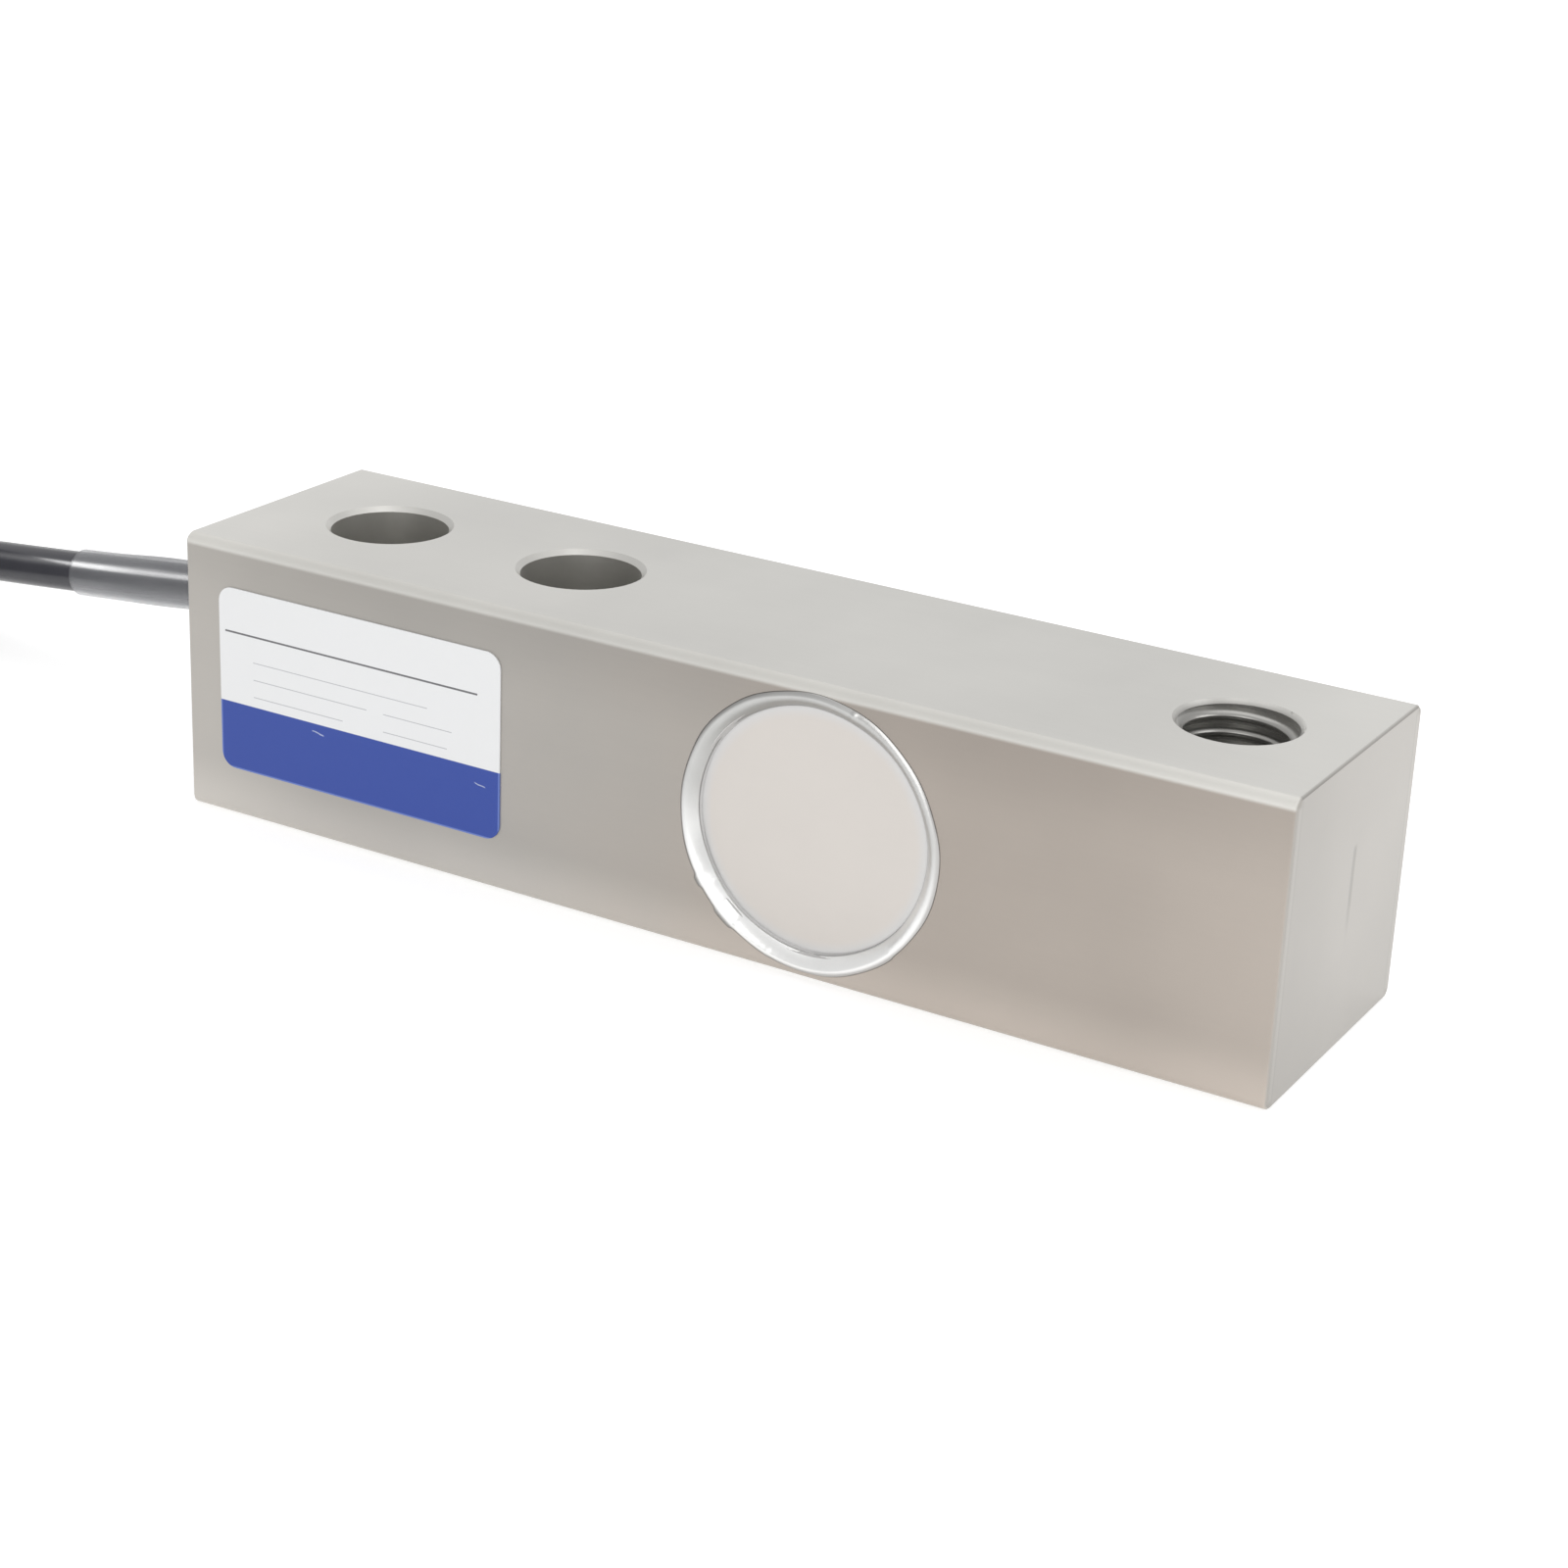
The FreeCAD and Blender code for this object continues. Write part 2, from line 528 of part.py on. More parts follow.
# Jumper wires: from the front terminal strip through the web hole to the back of the board.
strip_top = -web_y - value("strip_thickness + pad_height")
strip_z = middle_z - value("strip_offset")
web_hole_x, half_spacing = gauge_x - value("web_hole_offset"), value("jumper_spacing / 2")
jumpers = []
for order in range(4):
    strip_x = gauge_x + (order - 1.5) * pitch
    hole_x = web_hole_x + (half_spacing if order % 2 else -half_spacing)
    hole_z = middle_z + (half_spacing if order > 1 else -half_spacing)
    hump_y = strip_top - value("jumper_rise") - order * value("jumper_step")
    jumpers.append(tube(f"jumper wire {order + 1}", [
        (strip_x, strip_top, strip_z), (strip_x, hump_y, strip_z), (hole_x, hump_y, hole_z),
        (hole_x, board_y, hole_z),
    ], value("wire_radius")))
plain("jumper_wires", Part.makeCompound(jumpers))

# Free cable. The points are steps from the middle of the entry: away from the bar, sideways and up.
SLEEVED_ROUTE = [(8, 0, 0), (-6, 0, 0), (-26, -0.1, -2.4)]
FREE_ROUTE = [
    (-47.5, 0.1, -4.6), (-60, 1.4, -6.2), (-70.5, 2.6, -9.2), (-80.5, 3.15, -11.7), (-90.5, 3.1, -12),
]
cable_radius = value("cable_radius")
steps = SLEEVED_ROUTE + FREE_ROUTE
route = [(exit_x + away, exit_y + aside, middle_z + up) for away, aside, up in steps]
sleeved = 2 * len(SLEEVED_ROUTE) - 1
cable = tube("cable_run", route, cable_radius)
sleeve = tube("strain_relief_sleeve", route, value(SLEEVE_RADIUS), sleeved)
plain("strain_relief_sleeve", sleeve.cut(tube("sleeve bore", route, cable_radius, sleeved)))

# Hank: the outer shape of the put-away turns, an oblong ring that stands on the bands of its two ties.
hank = new_body("hank_block")
hank_sketch = new_sketch(hank, "hank_outline", "XY_Plane", ("0", "hank_middle", "tie_gauge"))
for radius in (HANK_OUTER, HANK_INNER):
    outline(hank_sketch, [
        (FAR_FOLD, f"-{radius}"),
        (NEAR_FOLD, f"-{radius}", radius), (f"{NEAR_FOLD} + {radius}", "0", radius), (NEAR_FOLD, radius),
        (FAR_FOLD, radius, radius), (f"{FAR_FOLD} - {radius}", "0", radius),
    ])
feature(hank, "Pad", "hank_pad", hank_sketch, Length=HANK_HEIGHT)


def lies_flat(edge):
    return edge.BoundBox.ZLength < SAME


dressed(hank, "Fillet", "hank_edges", lies_flat, Radius="cable_radius")
doc.recompute()

# The free cable's end belongs to the hank from where it lies beside the outermost strand.
split, reach = value(f"{HANK_NEAR} - cable_radius"), cable.BoundBox.DiagonalLength
beyond = Part.makeBox(reach, 2 * reach, 2 * reach, FreeCAD.Vector(split - reach, exit_y - reach, -reach))
plain("cable_run", cable.cut(beyond))
plain("cable_hank", hank.Shape.fuse(cable.common(beyond)).removeSplitter())

# Tail: the end of the last strand crosses the middle of the hank and lies on the floor there.
near_fold, strand_y = value(NEAR_FOLD), value("hank_middle + fold_radius")
TAIL_ROUTE = [
    (1.5, 0, 0.8), (-9, -2.8, 0.8), (-19, -8, 0.5), (-28, -12.8, 0.15), (-36, -15, 0), (-43, -15, 0),
]
floor_step = value(SLEEVE_RADIUS)
tail_points = [(near_fold + away, strand_y + aside, floor_step + up) for away, aside, up in TAIL_ROUTE]
plain("cable_tail", tube("cable_tail", tail_points, cable_radius).cut(hank.Shape))

# Stripped end: a shrink sleeve laps the jacket's end; four cores and the bare shield wire fan out of it.
tail_end = FreeCAD.Vector(*tail_points[-1])
lap = value("end_sleeve_lap")
sleeve_axis = (tail_end + FreeCAD.Vector(lap, 0, 0), FreeCAD.Vector(-1, 0, 0))
end_sleeve = Part.makeCylinder(value(SLEEVE_RADIUS), value("end_sleeve_length"), *sleeve_axis)
end_sleeve = end_sleeve.cut(Part.makeCylinder(cable_radius, lap, *sleeve_axis))
mouth_x = tail_end.x + lap - value("end_sleeve_length")
FAN = {  # colour: sideways step on the floor, length out of the sleeve, share of the drop in the first step
    "green": (2.2, 9.5, 0.4), "white": (-2.2, 10, 0.4), "black": (-0.5, 11, 0.2), "red": (0.5, 10, 0.2),
}
STRIPPED = {
    f"core_{colour}": (across * spread, up * spread, value("core_radius"), *FAN[colour])
    for colour, (across, up) in CORES.items()
}
STRIPPED["shield_wire"] = (0, 0, value("wire_radius"), 0, 8, 0.4)
wires = []
for node, (across, up, radius, fan, length, first_share) in STRIPPED.items():
    y, z = tail_end.y + across, tail_end.z + up
    drop = z - radius - value("fit_gap")
    steps = [(1, 0, 0), (-3, 0.45, first_share), (-0.6 * length, 0.85, 1), (-length, 1, 1)]
    points = [(mouth_x + away, y + fan * aside, z - drop * down) for away, aside, down in steps]
    wires.append(tube(node, [(tail_end.x, y, z), *points], radius))
    plain(node, wires[-1])
plain("end_sleeve", end_sleeve.cut(Part.makeCompound(wires)))

# Ties: a band round each side of the hank, hugging its rounded strands, with its head on top.
BUNDLES = {"rear": (HANK_INNER, HANK_OUTER), "front": (f"(-{HANK_OUTER})", f"(-{HANK_INNER})")}
for side, (low, high) in BUNDLES.items():
    band = new_body(f"{side}_tie")
    band_sketch = new_sketch(band, f"{side}_band", "YZ_Plane", ("hank_middle", "0", "-tie_width / 2"))
    top = f"(tie_gauge + {HANK_HEIGHT})"
    rounded_rectangle(band_sketch, low, "tie_gauge", high, top, "cable_radius")
    rounded_rectangle(
        band_sketch, f"({low} - tie_gauge)", "0", f"({high} + tie_gauge)", f"({top} + tie_gauge)",
        "(cable_radius + tie_gauge)",
    )
    feature(band, "Pad", f"{side}_band_pad", band_sketch, Length="tie_width")
    head_sketch = new_sketch(band, f"{side}_head", "YZ_Plane", ("hank_middle", "0", "-tie_head_width / 2"))
    head_side = f"(({low} + {high} - tie_head_length) / 2)"
    rectangle(head_sketch, head_side, top, f"{head_side} + tie_head_length", f"{top} + tie_head_height")
    feature(band, "Pad", f"{side}_head_pad", head_sketch, Length="tie_head_width")
    place(band, f"{NEAR_FOLD} - hank_run / 2")

doc.recompute()

KINDS = ("PartDesign::Body", "Part::Feature")
NODES = [item for item in doc.Objects if item.TypeId in KINDS and item is not hank]
for item in doc.Objects:
    if {"Invalid", "Error"} & set(item.State):
        raise RuntimeError(f"{item.Label} failed: {item.State}")
for item in NODES:
    if item.Shape.isNull() or not item.Shape.isValid():
        raise RuntimeError(f"{item.Label} has no valid shape")
os.makedirs("parts", exist_ok=True)
for item in NODES:
    item.Shape.exportStep(f"parts/{item.Label}.step")
print(f"{len(NODES)} sub-parts, volume {sum(item.Shape.Volume for item in NODES):.0f} cubic millimetres")
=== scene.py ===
import json
import math
import bpy
import numpy as np
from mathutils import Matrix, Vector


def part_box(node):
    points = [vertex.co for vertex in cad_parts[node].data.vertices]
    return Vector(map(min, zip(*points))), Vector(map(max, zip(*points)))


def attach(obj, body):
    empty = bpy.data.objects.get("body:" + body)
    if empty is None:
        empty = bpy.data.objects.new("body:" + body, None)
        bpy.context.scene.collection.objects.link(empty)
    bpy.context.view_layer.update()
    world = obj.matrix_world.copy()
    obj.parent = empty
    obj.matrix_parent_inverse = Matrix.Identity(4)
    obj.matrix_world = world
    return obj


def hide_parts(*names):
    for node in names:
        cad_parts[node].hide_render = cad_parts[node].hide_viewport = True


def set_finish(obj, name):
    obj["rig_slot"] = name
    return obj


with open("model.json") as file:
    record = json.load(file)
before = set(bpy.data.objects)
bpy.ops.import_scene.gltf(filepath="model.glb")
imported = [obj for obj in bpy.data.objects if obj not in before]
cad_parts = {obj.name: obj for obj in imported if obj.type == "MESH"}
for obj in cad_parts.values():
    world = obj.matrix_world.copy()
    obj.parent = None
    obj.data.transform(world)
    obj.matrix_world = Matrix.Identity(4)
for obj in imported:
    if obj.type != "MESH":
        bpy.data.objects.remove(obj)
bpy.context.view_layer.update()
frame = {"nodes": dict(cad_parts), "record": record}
mm = 0.001
print("frame loaded")


def corners(node):
    # a node's lowest and highest corner, in mm
    return (np.array(corner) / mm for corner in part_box(node))


barLow, barHigh = corners("beam")
coverLow, coverHigh = corners("front_cover")
bushLow, bushHigh = corners("cable_entry_bush")
labelLow, labelHigh = corners("rating_label")
coverMiddle = (coverLow + coverHigh) / 2
bushMiddle = (bushLow + bushHigh) / 2
entry = np.array([barLow[0], bushMiddle[1], bushMiddle[2]])  # where the cable leaves the bar


def stand(holder, place, right, up, back):
    # places a camera or lamp that looks away from back; the list is read column by column
    turned = np.eye(4)
    turned[:, :3] = right, up, back, np.array(place) * mm
    holder.matrix_world = turned.tolist()
    bpy.context.scene.collection.objects.link(holder)


camera = {
    "place": (161.08, -277.86, 141.42),  # mm
    "pitch": 21.822,  # degrees down
    "heading": 29.756,  # degrees from +Y towards -X
    "roll": 2.523,
    "lens": 75.15,
    "sensor": 36.0,
    "clip": (0.01, 20),  # m
}


def addCamera():
    pitch, heading, roll = (math.radians(camera[key]) for key in ("pitch", "heading", "roll"))
    level = np.array([math.cos(heading), math.sin(heading), 0.0])
    forward = np.array([-math.sin(heading), math.cos(heading), 0.0])
    ahead = forward * math.cos(pitch) - np.array([0.0, 0.0, math.sin(pitch)])
    upright = np.cross(level, ahead)
    data = bpy.data.cameras.new("studioCamera")
    data.lens, data.sensor_width = camera["lens"], camera["sensor"]
    data.clip_start, data.clip_end = camera["clip"]
    holder = bpy.data.objects.new("studioCamera", data)
    right = level * math.cos(roll) + upright * math.sin(roll)
    up = upright * math.cos(roll) - level * math.sin(roll)
    stand(holder, camera["place"], right, up, -ahead)
    bpy.context.scene.camera = holder


addCamera()
print("camera placed")


def shell(grid, rowsClose=False):
    # Points and faces of a closed surface: rows of points that each close on themselves, with a
    # flat cap on the first and last row where the rows don't close too. The faces are turned to
    # point outwards, by the sign of the volume that they enclose.
    rows, columns = grid.shape[:2]
    points = grid.reshape(-1, 3)
    row = np.arange(rows if rowsClose else rows - 1)[:, None]
    column = np.arange(columns)[None, :]
    nextRow, nextColumn = (row + 1) % rows, (column + 1) % columns
    around = (row * columns + column, row * columns + nextColumn,
              nextRow * columns + nextColumn, nextRow * columns + column)
    quads = np.stack(np.broadcast_arrays(*around), axis=-1).reshape(-1, 4)
    centre = points.mean(axis=0)
    a, b, c, d = (points[quads[:, corner]] - centre for corner in range(4))
    volume = np.sum(a * np.cross(b, c)) + np.sum(a * np.cross(c, d))
    faces = quads.tolist()
    if not rowsClose:
        faces.append(list(range(columns))[::-1])
        faces.append(list(range((rows - 1) * columns, rows * columns)))
    return points, faces if volume > 0 else [face[::-1] for face in faces]


def addPiece(name, *shells):
    # one object from closed surfaces in mm
    mesh = bpy.data.meshes.new(name)
    points, faces, count = [], [], 0
    for shellPoints, shellFaces in shells:
        points.append(shellPoints * mm)
        faces += [[corner + count for corner in face] for face in shellFaces]
        count += len(shellPoints)
    mesh.from_pydata(np.concatenate(points).tolist(), [], faces)
    mesh.polygons.foreach_set("use_smooth", [True] * len(mesh.polygons))
    piece = bpy.data.objects.new(name, mesh)
    bpy.context.scene.collection.objects.link(piece)
    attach(piece, "root")
    return piece


def sweep(path, radii, around):
    # Rings of the given radii round a path that never stands upright. A point is the path's point
    # plus its radius times (cos of the angle sideways + sin of the angle upwards).
    tangent = np.gradient(path, axis=0)
    tangent /= np.linalg.norm(tangent, axis=1)[:, None]
    sideways = np.cross(tangent, (0.0, 0.0, 1.0))
    sideways /= np.linalg.norm(sideways, axis=1)[:, None]
    upwards = np.cross(sideways, tangent)
    angle = np.linspace(0, 2 * math.pi, around, endpoint=False)[None, :, None]
    ring = sideways[:, None, :] * np.cos(angle) + upwards[:, None, :] * np.sin(angle)
    return path[:, None, :] + ring * np.asarray(radii)[:, :, None]


cable = {
    "length": 6.0,  # m; all other lengths are in mm
    "diameter": 5.0,
    "lead": [  # steps from the middle of the entry
        (8, 0, 0), (-6, 0, 0), (-26, -0.1, -2.4),
        (-47.5, 0.1, -4.6), (-60, 1.4, -6.2),
        (-70.5, 2.7, -10.3), (-80.5, 3.15, -12.15), (-90.5, 3.1, -12.2),
    ],
    "tail": [  # steps from the innermost strand at the near fold
        (-2.0, 0, 0.8), (-9.5, -2.6, 0.8), (-19, -8, 0.5),
        (-28, -12.8, 0.15), (-36, -15, 0), (-43, -15, 0),
    ],
    "endSleeveWall": 0.35,  # under the tail
    "resolution": 7,
    "roundness": 5,
}
hank = {
    "gap": 60,  # between the bar and the hank
    "middle": -15.5,
    "run": 61,
    "foldRadius": 15,
    "pitch": 5.05,
    "columns": 4,
    "layers": 6,
    "floor": 1.2,  # the tie's band under it
    "step": 30,  # degrees between points round a fold
    "runPoints": 5,
    # In each turn the strand changes column or layer only from one to another of these, counted in
    # quarters of a turn: rear run, far fold, front run, near fold. That keeps the turns a pitch
    # apart. Shifts are listed by the column that they lead into, climbs by the column they are in.
    "shifts": {2: (3.222, 3.5), 1: (2.0, 2.574), 0: (0.5, 1.0)},
    "climbs": {3: (3.5, 3.833), 2: (2.656, 3.222), 1: (1.0, 2.0), 0: (0.0, 0.5)},
    "lastClimb": (3.2, 3.9),  # down to the floor
}


def hankLine():
    # The winding: straight runs at the middle plus or minus a turn's radius, and half circles of
    # that radius between them. A fold's points stand out by 1 / cos of half a step, so that the
    # smooth line through them keeps the radius.

    def radiusAt(column):
        return hank["foldRadius"] + column * hank["pitch"]

    lastColumn, lastLayer = hank["columns"] - 1, hank["layers"] - 1
    nearFold = barLow[0] - hank["gap"] - radiusAt(lastColumn) - cable["diameter"] / 2
    farFold = nearFold - hank["run"]
    shifts, climbs, turn = [], [], 0
    for column in range(lastColumn, -1, -1):
        if column < lastColumn:
            shifts.append([turn + quarter / 4 for quarter in hank["shifts"][column]])
            turn += 1
        way = 1 if (lastColumn - column) % 2 == 0 else -1  # up and down in turns
        for _ in range(lastLayer if column else lastLayer - 1):
            climbs.append([turn + quarter / 4 for quarter in hank["climbs"][column]] + [way])
            turn += 1
    climbs.append([turn - 1 + quarter / 4 for quarter in hank["lastClimb"]] + [-1])

    def eased(at, start, end):
        return 0.5 - 0.5 * np.cos(math.pi * np.clip((at - start) / (end - start), 0, 1))

    def columnAt(at):
        return lastColumn - sum(eased(at, start, end) for start, end in shifts)

    def layerAt(at):
        return sum(way * eased(at, start, end) for start, end, way in climbs)

    half = math.radians(hank["step"] / 2)
    folds = np.arange(hank["step"] / 2, 180, hank["step"]) / 180
    points = []
    for count in range(turn):
        reach = radiusAt(columnAt(count + 0.01)) * math.tan(half) / hank["run"]
        runs = np.linspace(reach, 1 - reach, hank["runPoints"])
        for quarter, spots in enumerate((runs, folds, runs, folds)):
            at = count + (quarter + spots) / 4
            radius = radiusAt(columnAt(at))
            height = hank["floor"] + cable["diameter"] / 2 + hank["pitch"] * layerAt(at)
            rear = 1 if quarter in (0, 1) else -1
            centre = nearFold if quarter in (0, 3) else farFold
            if quarter in (0, 2):
                x, y = centre - rear * spots * hank["run"], rear * radius
            else:
                x = centre - rear * radius / math.cos(half) * np.sin(math.pi * spots)
                y = rear * radius / math.cos(half) * np.cos(math.pi * spots)
            points.append(np.stack([x, y + hank["middle"], height + 0 * x], axis=1))
    return np.concatenate(points), nearFold


def cableLine():
    lead = entry + np.array(cable["lead"], float)
    winding, nearFold = hankLine()
    tailHeight = cable["diameter"] / 2 + cable["endSleeveWall"]
    start = np.array([nearFold, hank["middle"] + hank["foldRadius"], tailHeight])
    return np.concatenate([lead, winding, start + np.array(cable["tail"], float)])


def addCable():
    line = cableLine() * mm
    curve = bpy.data.curves.new("cable", "CURVE")
    curve.dimensions = "3D"
    spline = curve.splines.new("NURBS")
    spline.points.add(len(line) - 1)
    spline.points.foreach_set("co", np.c_[line, np.ones(len(line))].ravel())
    spline.points.foreach_set("radius", np.full(len(line), cable["diameter"] / 2 * mm))
    spline.order_u = 3
    spline.use_endpoint_u = True
    curve.resolution_u = cable["resolution"]
    piece = bpy.data.objects.new("cable", curve)
    bpy.context.scene.collection.objects.link(piece)
    bare = bpy.data.meshes.new_from_object(piece)  # the line alone, before it gets its thickness
    centreLine = np.zeros(len(bare.vertices) * 3)
    bare.vertices.foreach_get("co", centreLine)
    curve.bevel_depth = 1.0  # times the points' radius
    curve.bevel_resolution = cable["roundness"]
    curve.use_fill_caps = True
    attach(piece, "root")
    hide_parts("cable_run", "cable_hank", "cable_tail")
    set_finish(piece, "cable_jacket")
    return piece, centreLine.reshape(-1, 3) / mm


cablePiece, centreLine = addCable()
print("cable", len(centreLine), "points on its line")

sleeve = {
    "inside": 7.5,  # how far it reaches into the bush
    "outside": 42.0,  # and out of it
    "gap": 0.05,  # between it and the jacket
    "wall": 0.31,
    "swelling": 0.2,
    "swollen": (0.70, 0.13),  # where, as a share of its length, and how far each way
    "swollenBelow": 0.4,  # the share of it that the lower side has
    "rows": 120,
    "rims": (0.001, 0.01),  # closer rows at both ends, as shares of its length
    "around": 48,
}


def addSleeve():
    # Rings along the cable's own line, out along the outer wall and back along the inner one. The
    # outer wall is raised by swelling * exp(-((share of the length - place) / width)^2), fully on
    # its upper side and partly below.
    away = entry[0] - centreLine[:, 0]
    path = centreLine[(away > -sleeve["inside"]) & (away < sleeve["outside"])]
    doubled = np.linalg.norm(np.diff(path, axis=0), axis=1) <= 0.001
    path = path[~np.r_[False, doubled]]
    length = np.r_[0, np.cumsum(np.linalg.norm(np.diff(path, axis=0), axis=1))]
    rim, start = sleeve["rims"]
    between = np.linspace(start, 1 - start, sleeve["rows"] - 4)
    share = np.r_[0, rim, between, 1 - rim, 1]
    path = np.stack([np.interp(share * length[-1], length, way) for way in path.T], axis=1)
    place, width = sleeve["swollen"]
    angle = np.linspace(0, 2 * math.pi, sleeve["around"], endpoint=False)[None, :]
    below = sleeve["swollenBelow"]
    upper = below + (1 - below) * np.clip(np.sin(angle), 0, 1)
    swelling = sleeve["swelling"] * np.exp(-(((share[:, None] - place) / width) ** 2)) * upper
    inner = np.full(swelling.shape, cable["diameter"] / 2 + sleeve["gap"])
    outer = inner + sleeve["wall"] + swelling
    outerWall = sweep(path, outer, sleeve["around"])
    innerWall = sweep(path, inner, sleeve["around"])[::-1]
    walls = np.concatenate([outerWall, innerWall])
    piece = addPiece("clearSleeve", shell(walls, rowsClose=True))
    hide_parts("strain_relief_sleeve")
    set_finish(piece, "clear_sleeve")
    return piece


sleevePiece = addSleeve()

tieBand = {
    "gauge": 1.2,
    "width": 3.6,
    "corner": 3.7,  # outer corner radius
    "around": 1200,
    "spread": 1.6,  # shares the points out between the corners and the straight parts
    "toothPitch": 1.0,
    "tooth": 0.14,
    "rail": 0.3,  # how deep the toothed track lies between the band's two rails
    # the band's section: half widths and heights as shares, and 1 for points on the track
    "section": [
        (-1, 0.75, 0), (-0.88, 1, 0), (-0.68, 1, 0), (-0.62, 1, 1),
        (0.62, 1, 1), (0.68, 1, 0), (0.88, 1, 0), (1, 0.75, 0),
        (1, 0.2, 0), (0.88, 0, 0), (-0.88, 0, 0), (-1, 0.2, 0),
    ],
    "headLength": 5.4,
    "headWidth": 4.8,
    "headHeight": 3.6,
    "headEdge": (0.3, 0.3, 0.25),  # how far its rims step in: along, sideways, up
    "headSquareness": 0.3,  # 1 gives an ellipse, 0 a rectangle
    "headAround": 48,
    "slotRoom": (0.2, 0.3),  # how much wider and higher the slot is than the band
    "stub": 3.2,  # trimmed end beyond the head
    "stubRows": 90,
}


def bandSection(length):
    # the section at each length along the band, as (sideways, height): the track has saw teeth
    sideways, height, track = np.array(tieBand["section"]).T
    saw = tieBand["tooth"] * (length / tieBand["toothPitch"] % 1.0)
    heights = tieBand["gauge"] * height + track * (saw[:, None] - tieBand["rail"])
    return np.broadcast_to(sideways * tieBand["width"] / 2, heights.shape), heights


def bandPath(straight):
    # A rounded rectangle is its corner circle moved out by the straight parts. Both come from one
    # circle: its cosine and sine, times spread, are held within 1 for the straight parts, and what
    # lies beyond gives the direction outwards.
    turn = np.linspace(0, 2 * math.pi, tieBand["around"], endpoint=False)
    circle = np.stack([np.cos(turn), np.sin(turn)], axis=1)
    spread = tieBand["spread"]
    beyond = np.sign(circle) * np.clip((np.abs(circle) * spread - 1) / (spread - 1), 0, 1)
    outward = beyond / np.maximum(np.linalg.norm(beyond, axis=1), 1e-9)[:, None]
    inner = tieBand["corner"] - tieBand["gauge"]
    return np.clip(circle * spread, -1, 1) * straight + outward * inner, outward


def addTie(name, node):
    # The band's section carried round a rounded rectangle, a head that is a rounded block with a
    # slot through it, and the trimmed end that comes out of the slot.
    low, high = corners(node)
    middleX = (low[0] + high[0]) / 2
    roofZ = high[2] - tieBand["headHeight"] + tieBand["gauge"]
    centre = np.array([(low[1] + high[1]) / 2, (low[2] + roofZ) / 2])
    straight = np.array([high[1] - low[1], roofZ - low[2]]) / 2 - tieBand["corner"]
    path, outward = bandPath(straight)
    length = np.r_[0, np.cumsum(np.linalg.norm(np.diff(path, axis=0), axis=1))]
    sideways, height = bandSection(length)
    ring = centre + path[:, None, :] + outward[:, None, :] * height[:, :, None]
    band = np.concatenate([middleX + sideways[:, :, None], ring], axis=2)

    # the head's loops: place along it, half width and half height, out and back through the slot
    half, wide, tall = (tieBand[key] / 2 for key in ("headLength", "headWidth", "headHeight"))
    rimAlong, rimSideways, rimUp = tieBand["headEdge"]
    slotWide = (tieBand["width"] + tieBand["slotRoom"][0]) / 2
    slotTall = (tieBand["gauge"] + tieBand["slotRoom"][1]) / 2
    loops = np.array([
        (-half, wide - rimSideways, tall - rimUp), (-half + rimAlong, wide, tall),
        (half - rimAlong, wide, tall), (half, wide - rimSideways, tall - rimUp),
        (half, slotWide, slotTall), (-half, slotWide, slotTall),
    ])
    angle = np.linspace(0, 2 * math.pi, tieBand["headAround"], endpoint=False)
    circle = np.stack([np.cos(angle), np.sin(angle)], axis=1)
    rounded = np.sign(circle) * np.abs(circle) ** tieBand["headSquareness"]
    headZ = high[2] - tall
    head = np.empty((len(loops), len(angle), 3))
    head[:, :, 0] = middleX + loops[:, 1, None] * rounded[None, :, 0]
    head[:, :, 1] = centre[0] + loops[:, 0, None]
    head[:, :, 2] = headZ + loops[:, 2, None] * rounded[None, :, 1]

    run = np.linspace(-half, half + tieBand["stub"], tieBand["stubRows"])
    sideways, height = bandSection(run)
    stub = np.stack([middleX + sideways, centre[0] + run[:, None] + 0 * sideways,
                     headZ - tieBand["gauge"] / 2 + height], axis=2)
    piece = addPiece(name, shell(band, rowsClose=True), shell(head, rowsClose=True), shell(stub))
    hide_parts(node)
    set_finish(piece, "tie_nylon")
    return piece


tiePieces = [addTie("rearTie", "rear_tie"), addTie("frontTie", "front_tie")]
print("sleeve and ties on the cable")

bead = {
    "inner": 13.1,
    "outer": 14.95,
    "sink": 0.85,  # inner toe below the bar's side
    "crown": 0.28,
    "crest": 0.68,  # where the crown lies between the toes
    "swell": 1.5,  # how full the rise to the crown is
    # slow waves round the ring: how high, how many, and where the first one starts
    "innerWaves": [(0.04, 3, 0.4), (0.03, 8, 1)],
    "outerWaves": [(0.06, 5, 2), (0.03, 13, 0)],
    "crownWaves": [(0.12, 4, 1)],  # as a share of the crown
    "ripple": 0.003,
    "ripples": 110,
    "rippleLean": 3,
    "groove": [(14.5, -0.01), (14.0, -0.5)],  # the bevel under it
    "around": 1200,
    "across": 19,
    # runs of the weld: from and to in degrees, softness of both ends, extra height and extra
    # reach of the outer toe
    "runs": [
        (262, 314, 12, 0.5, 0.11, 0.14),  # the overlap where the weld stopped
        (232, 255, 8, 0.5, 0.05, 0.06),
        (70.2, 72.0, 0.3, 0.3, 0.08, 0.0),
        (211, 216, 0.3, 0.3, 0.01, 0.3),  # two tack welds
        (226, 236, 0.4, 0.4, 0.01, 0.26),
    ],
}


def waves(angle, rows):
    return sum(height * np.sin(count * angle + start) for height, count, start in rows)


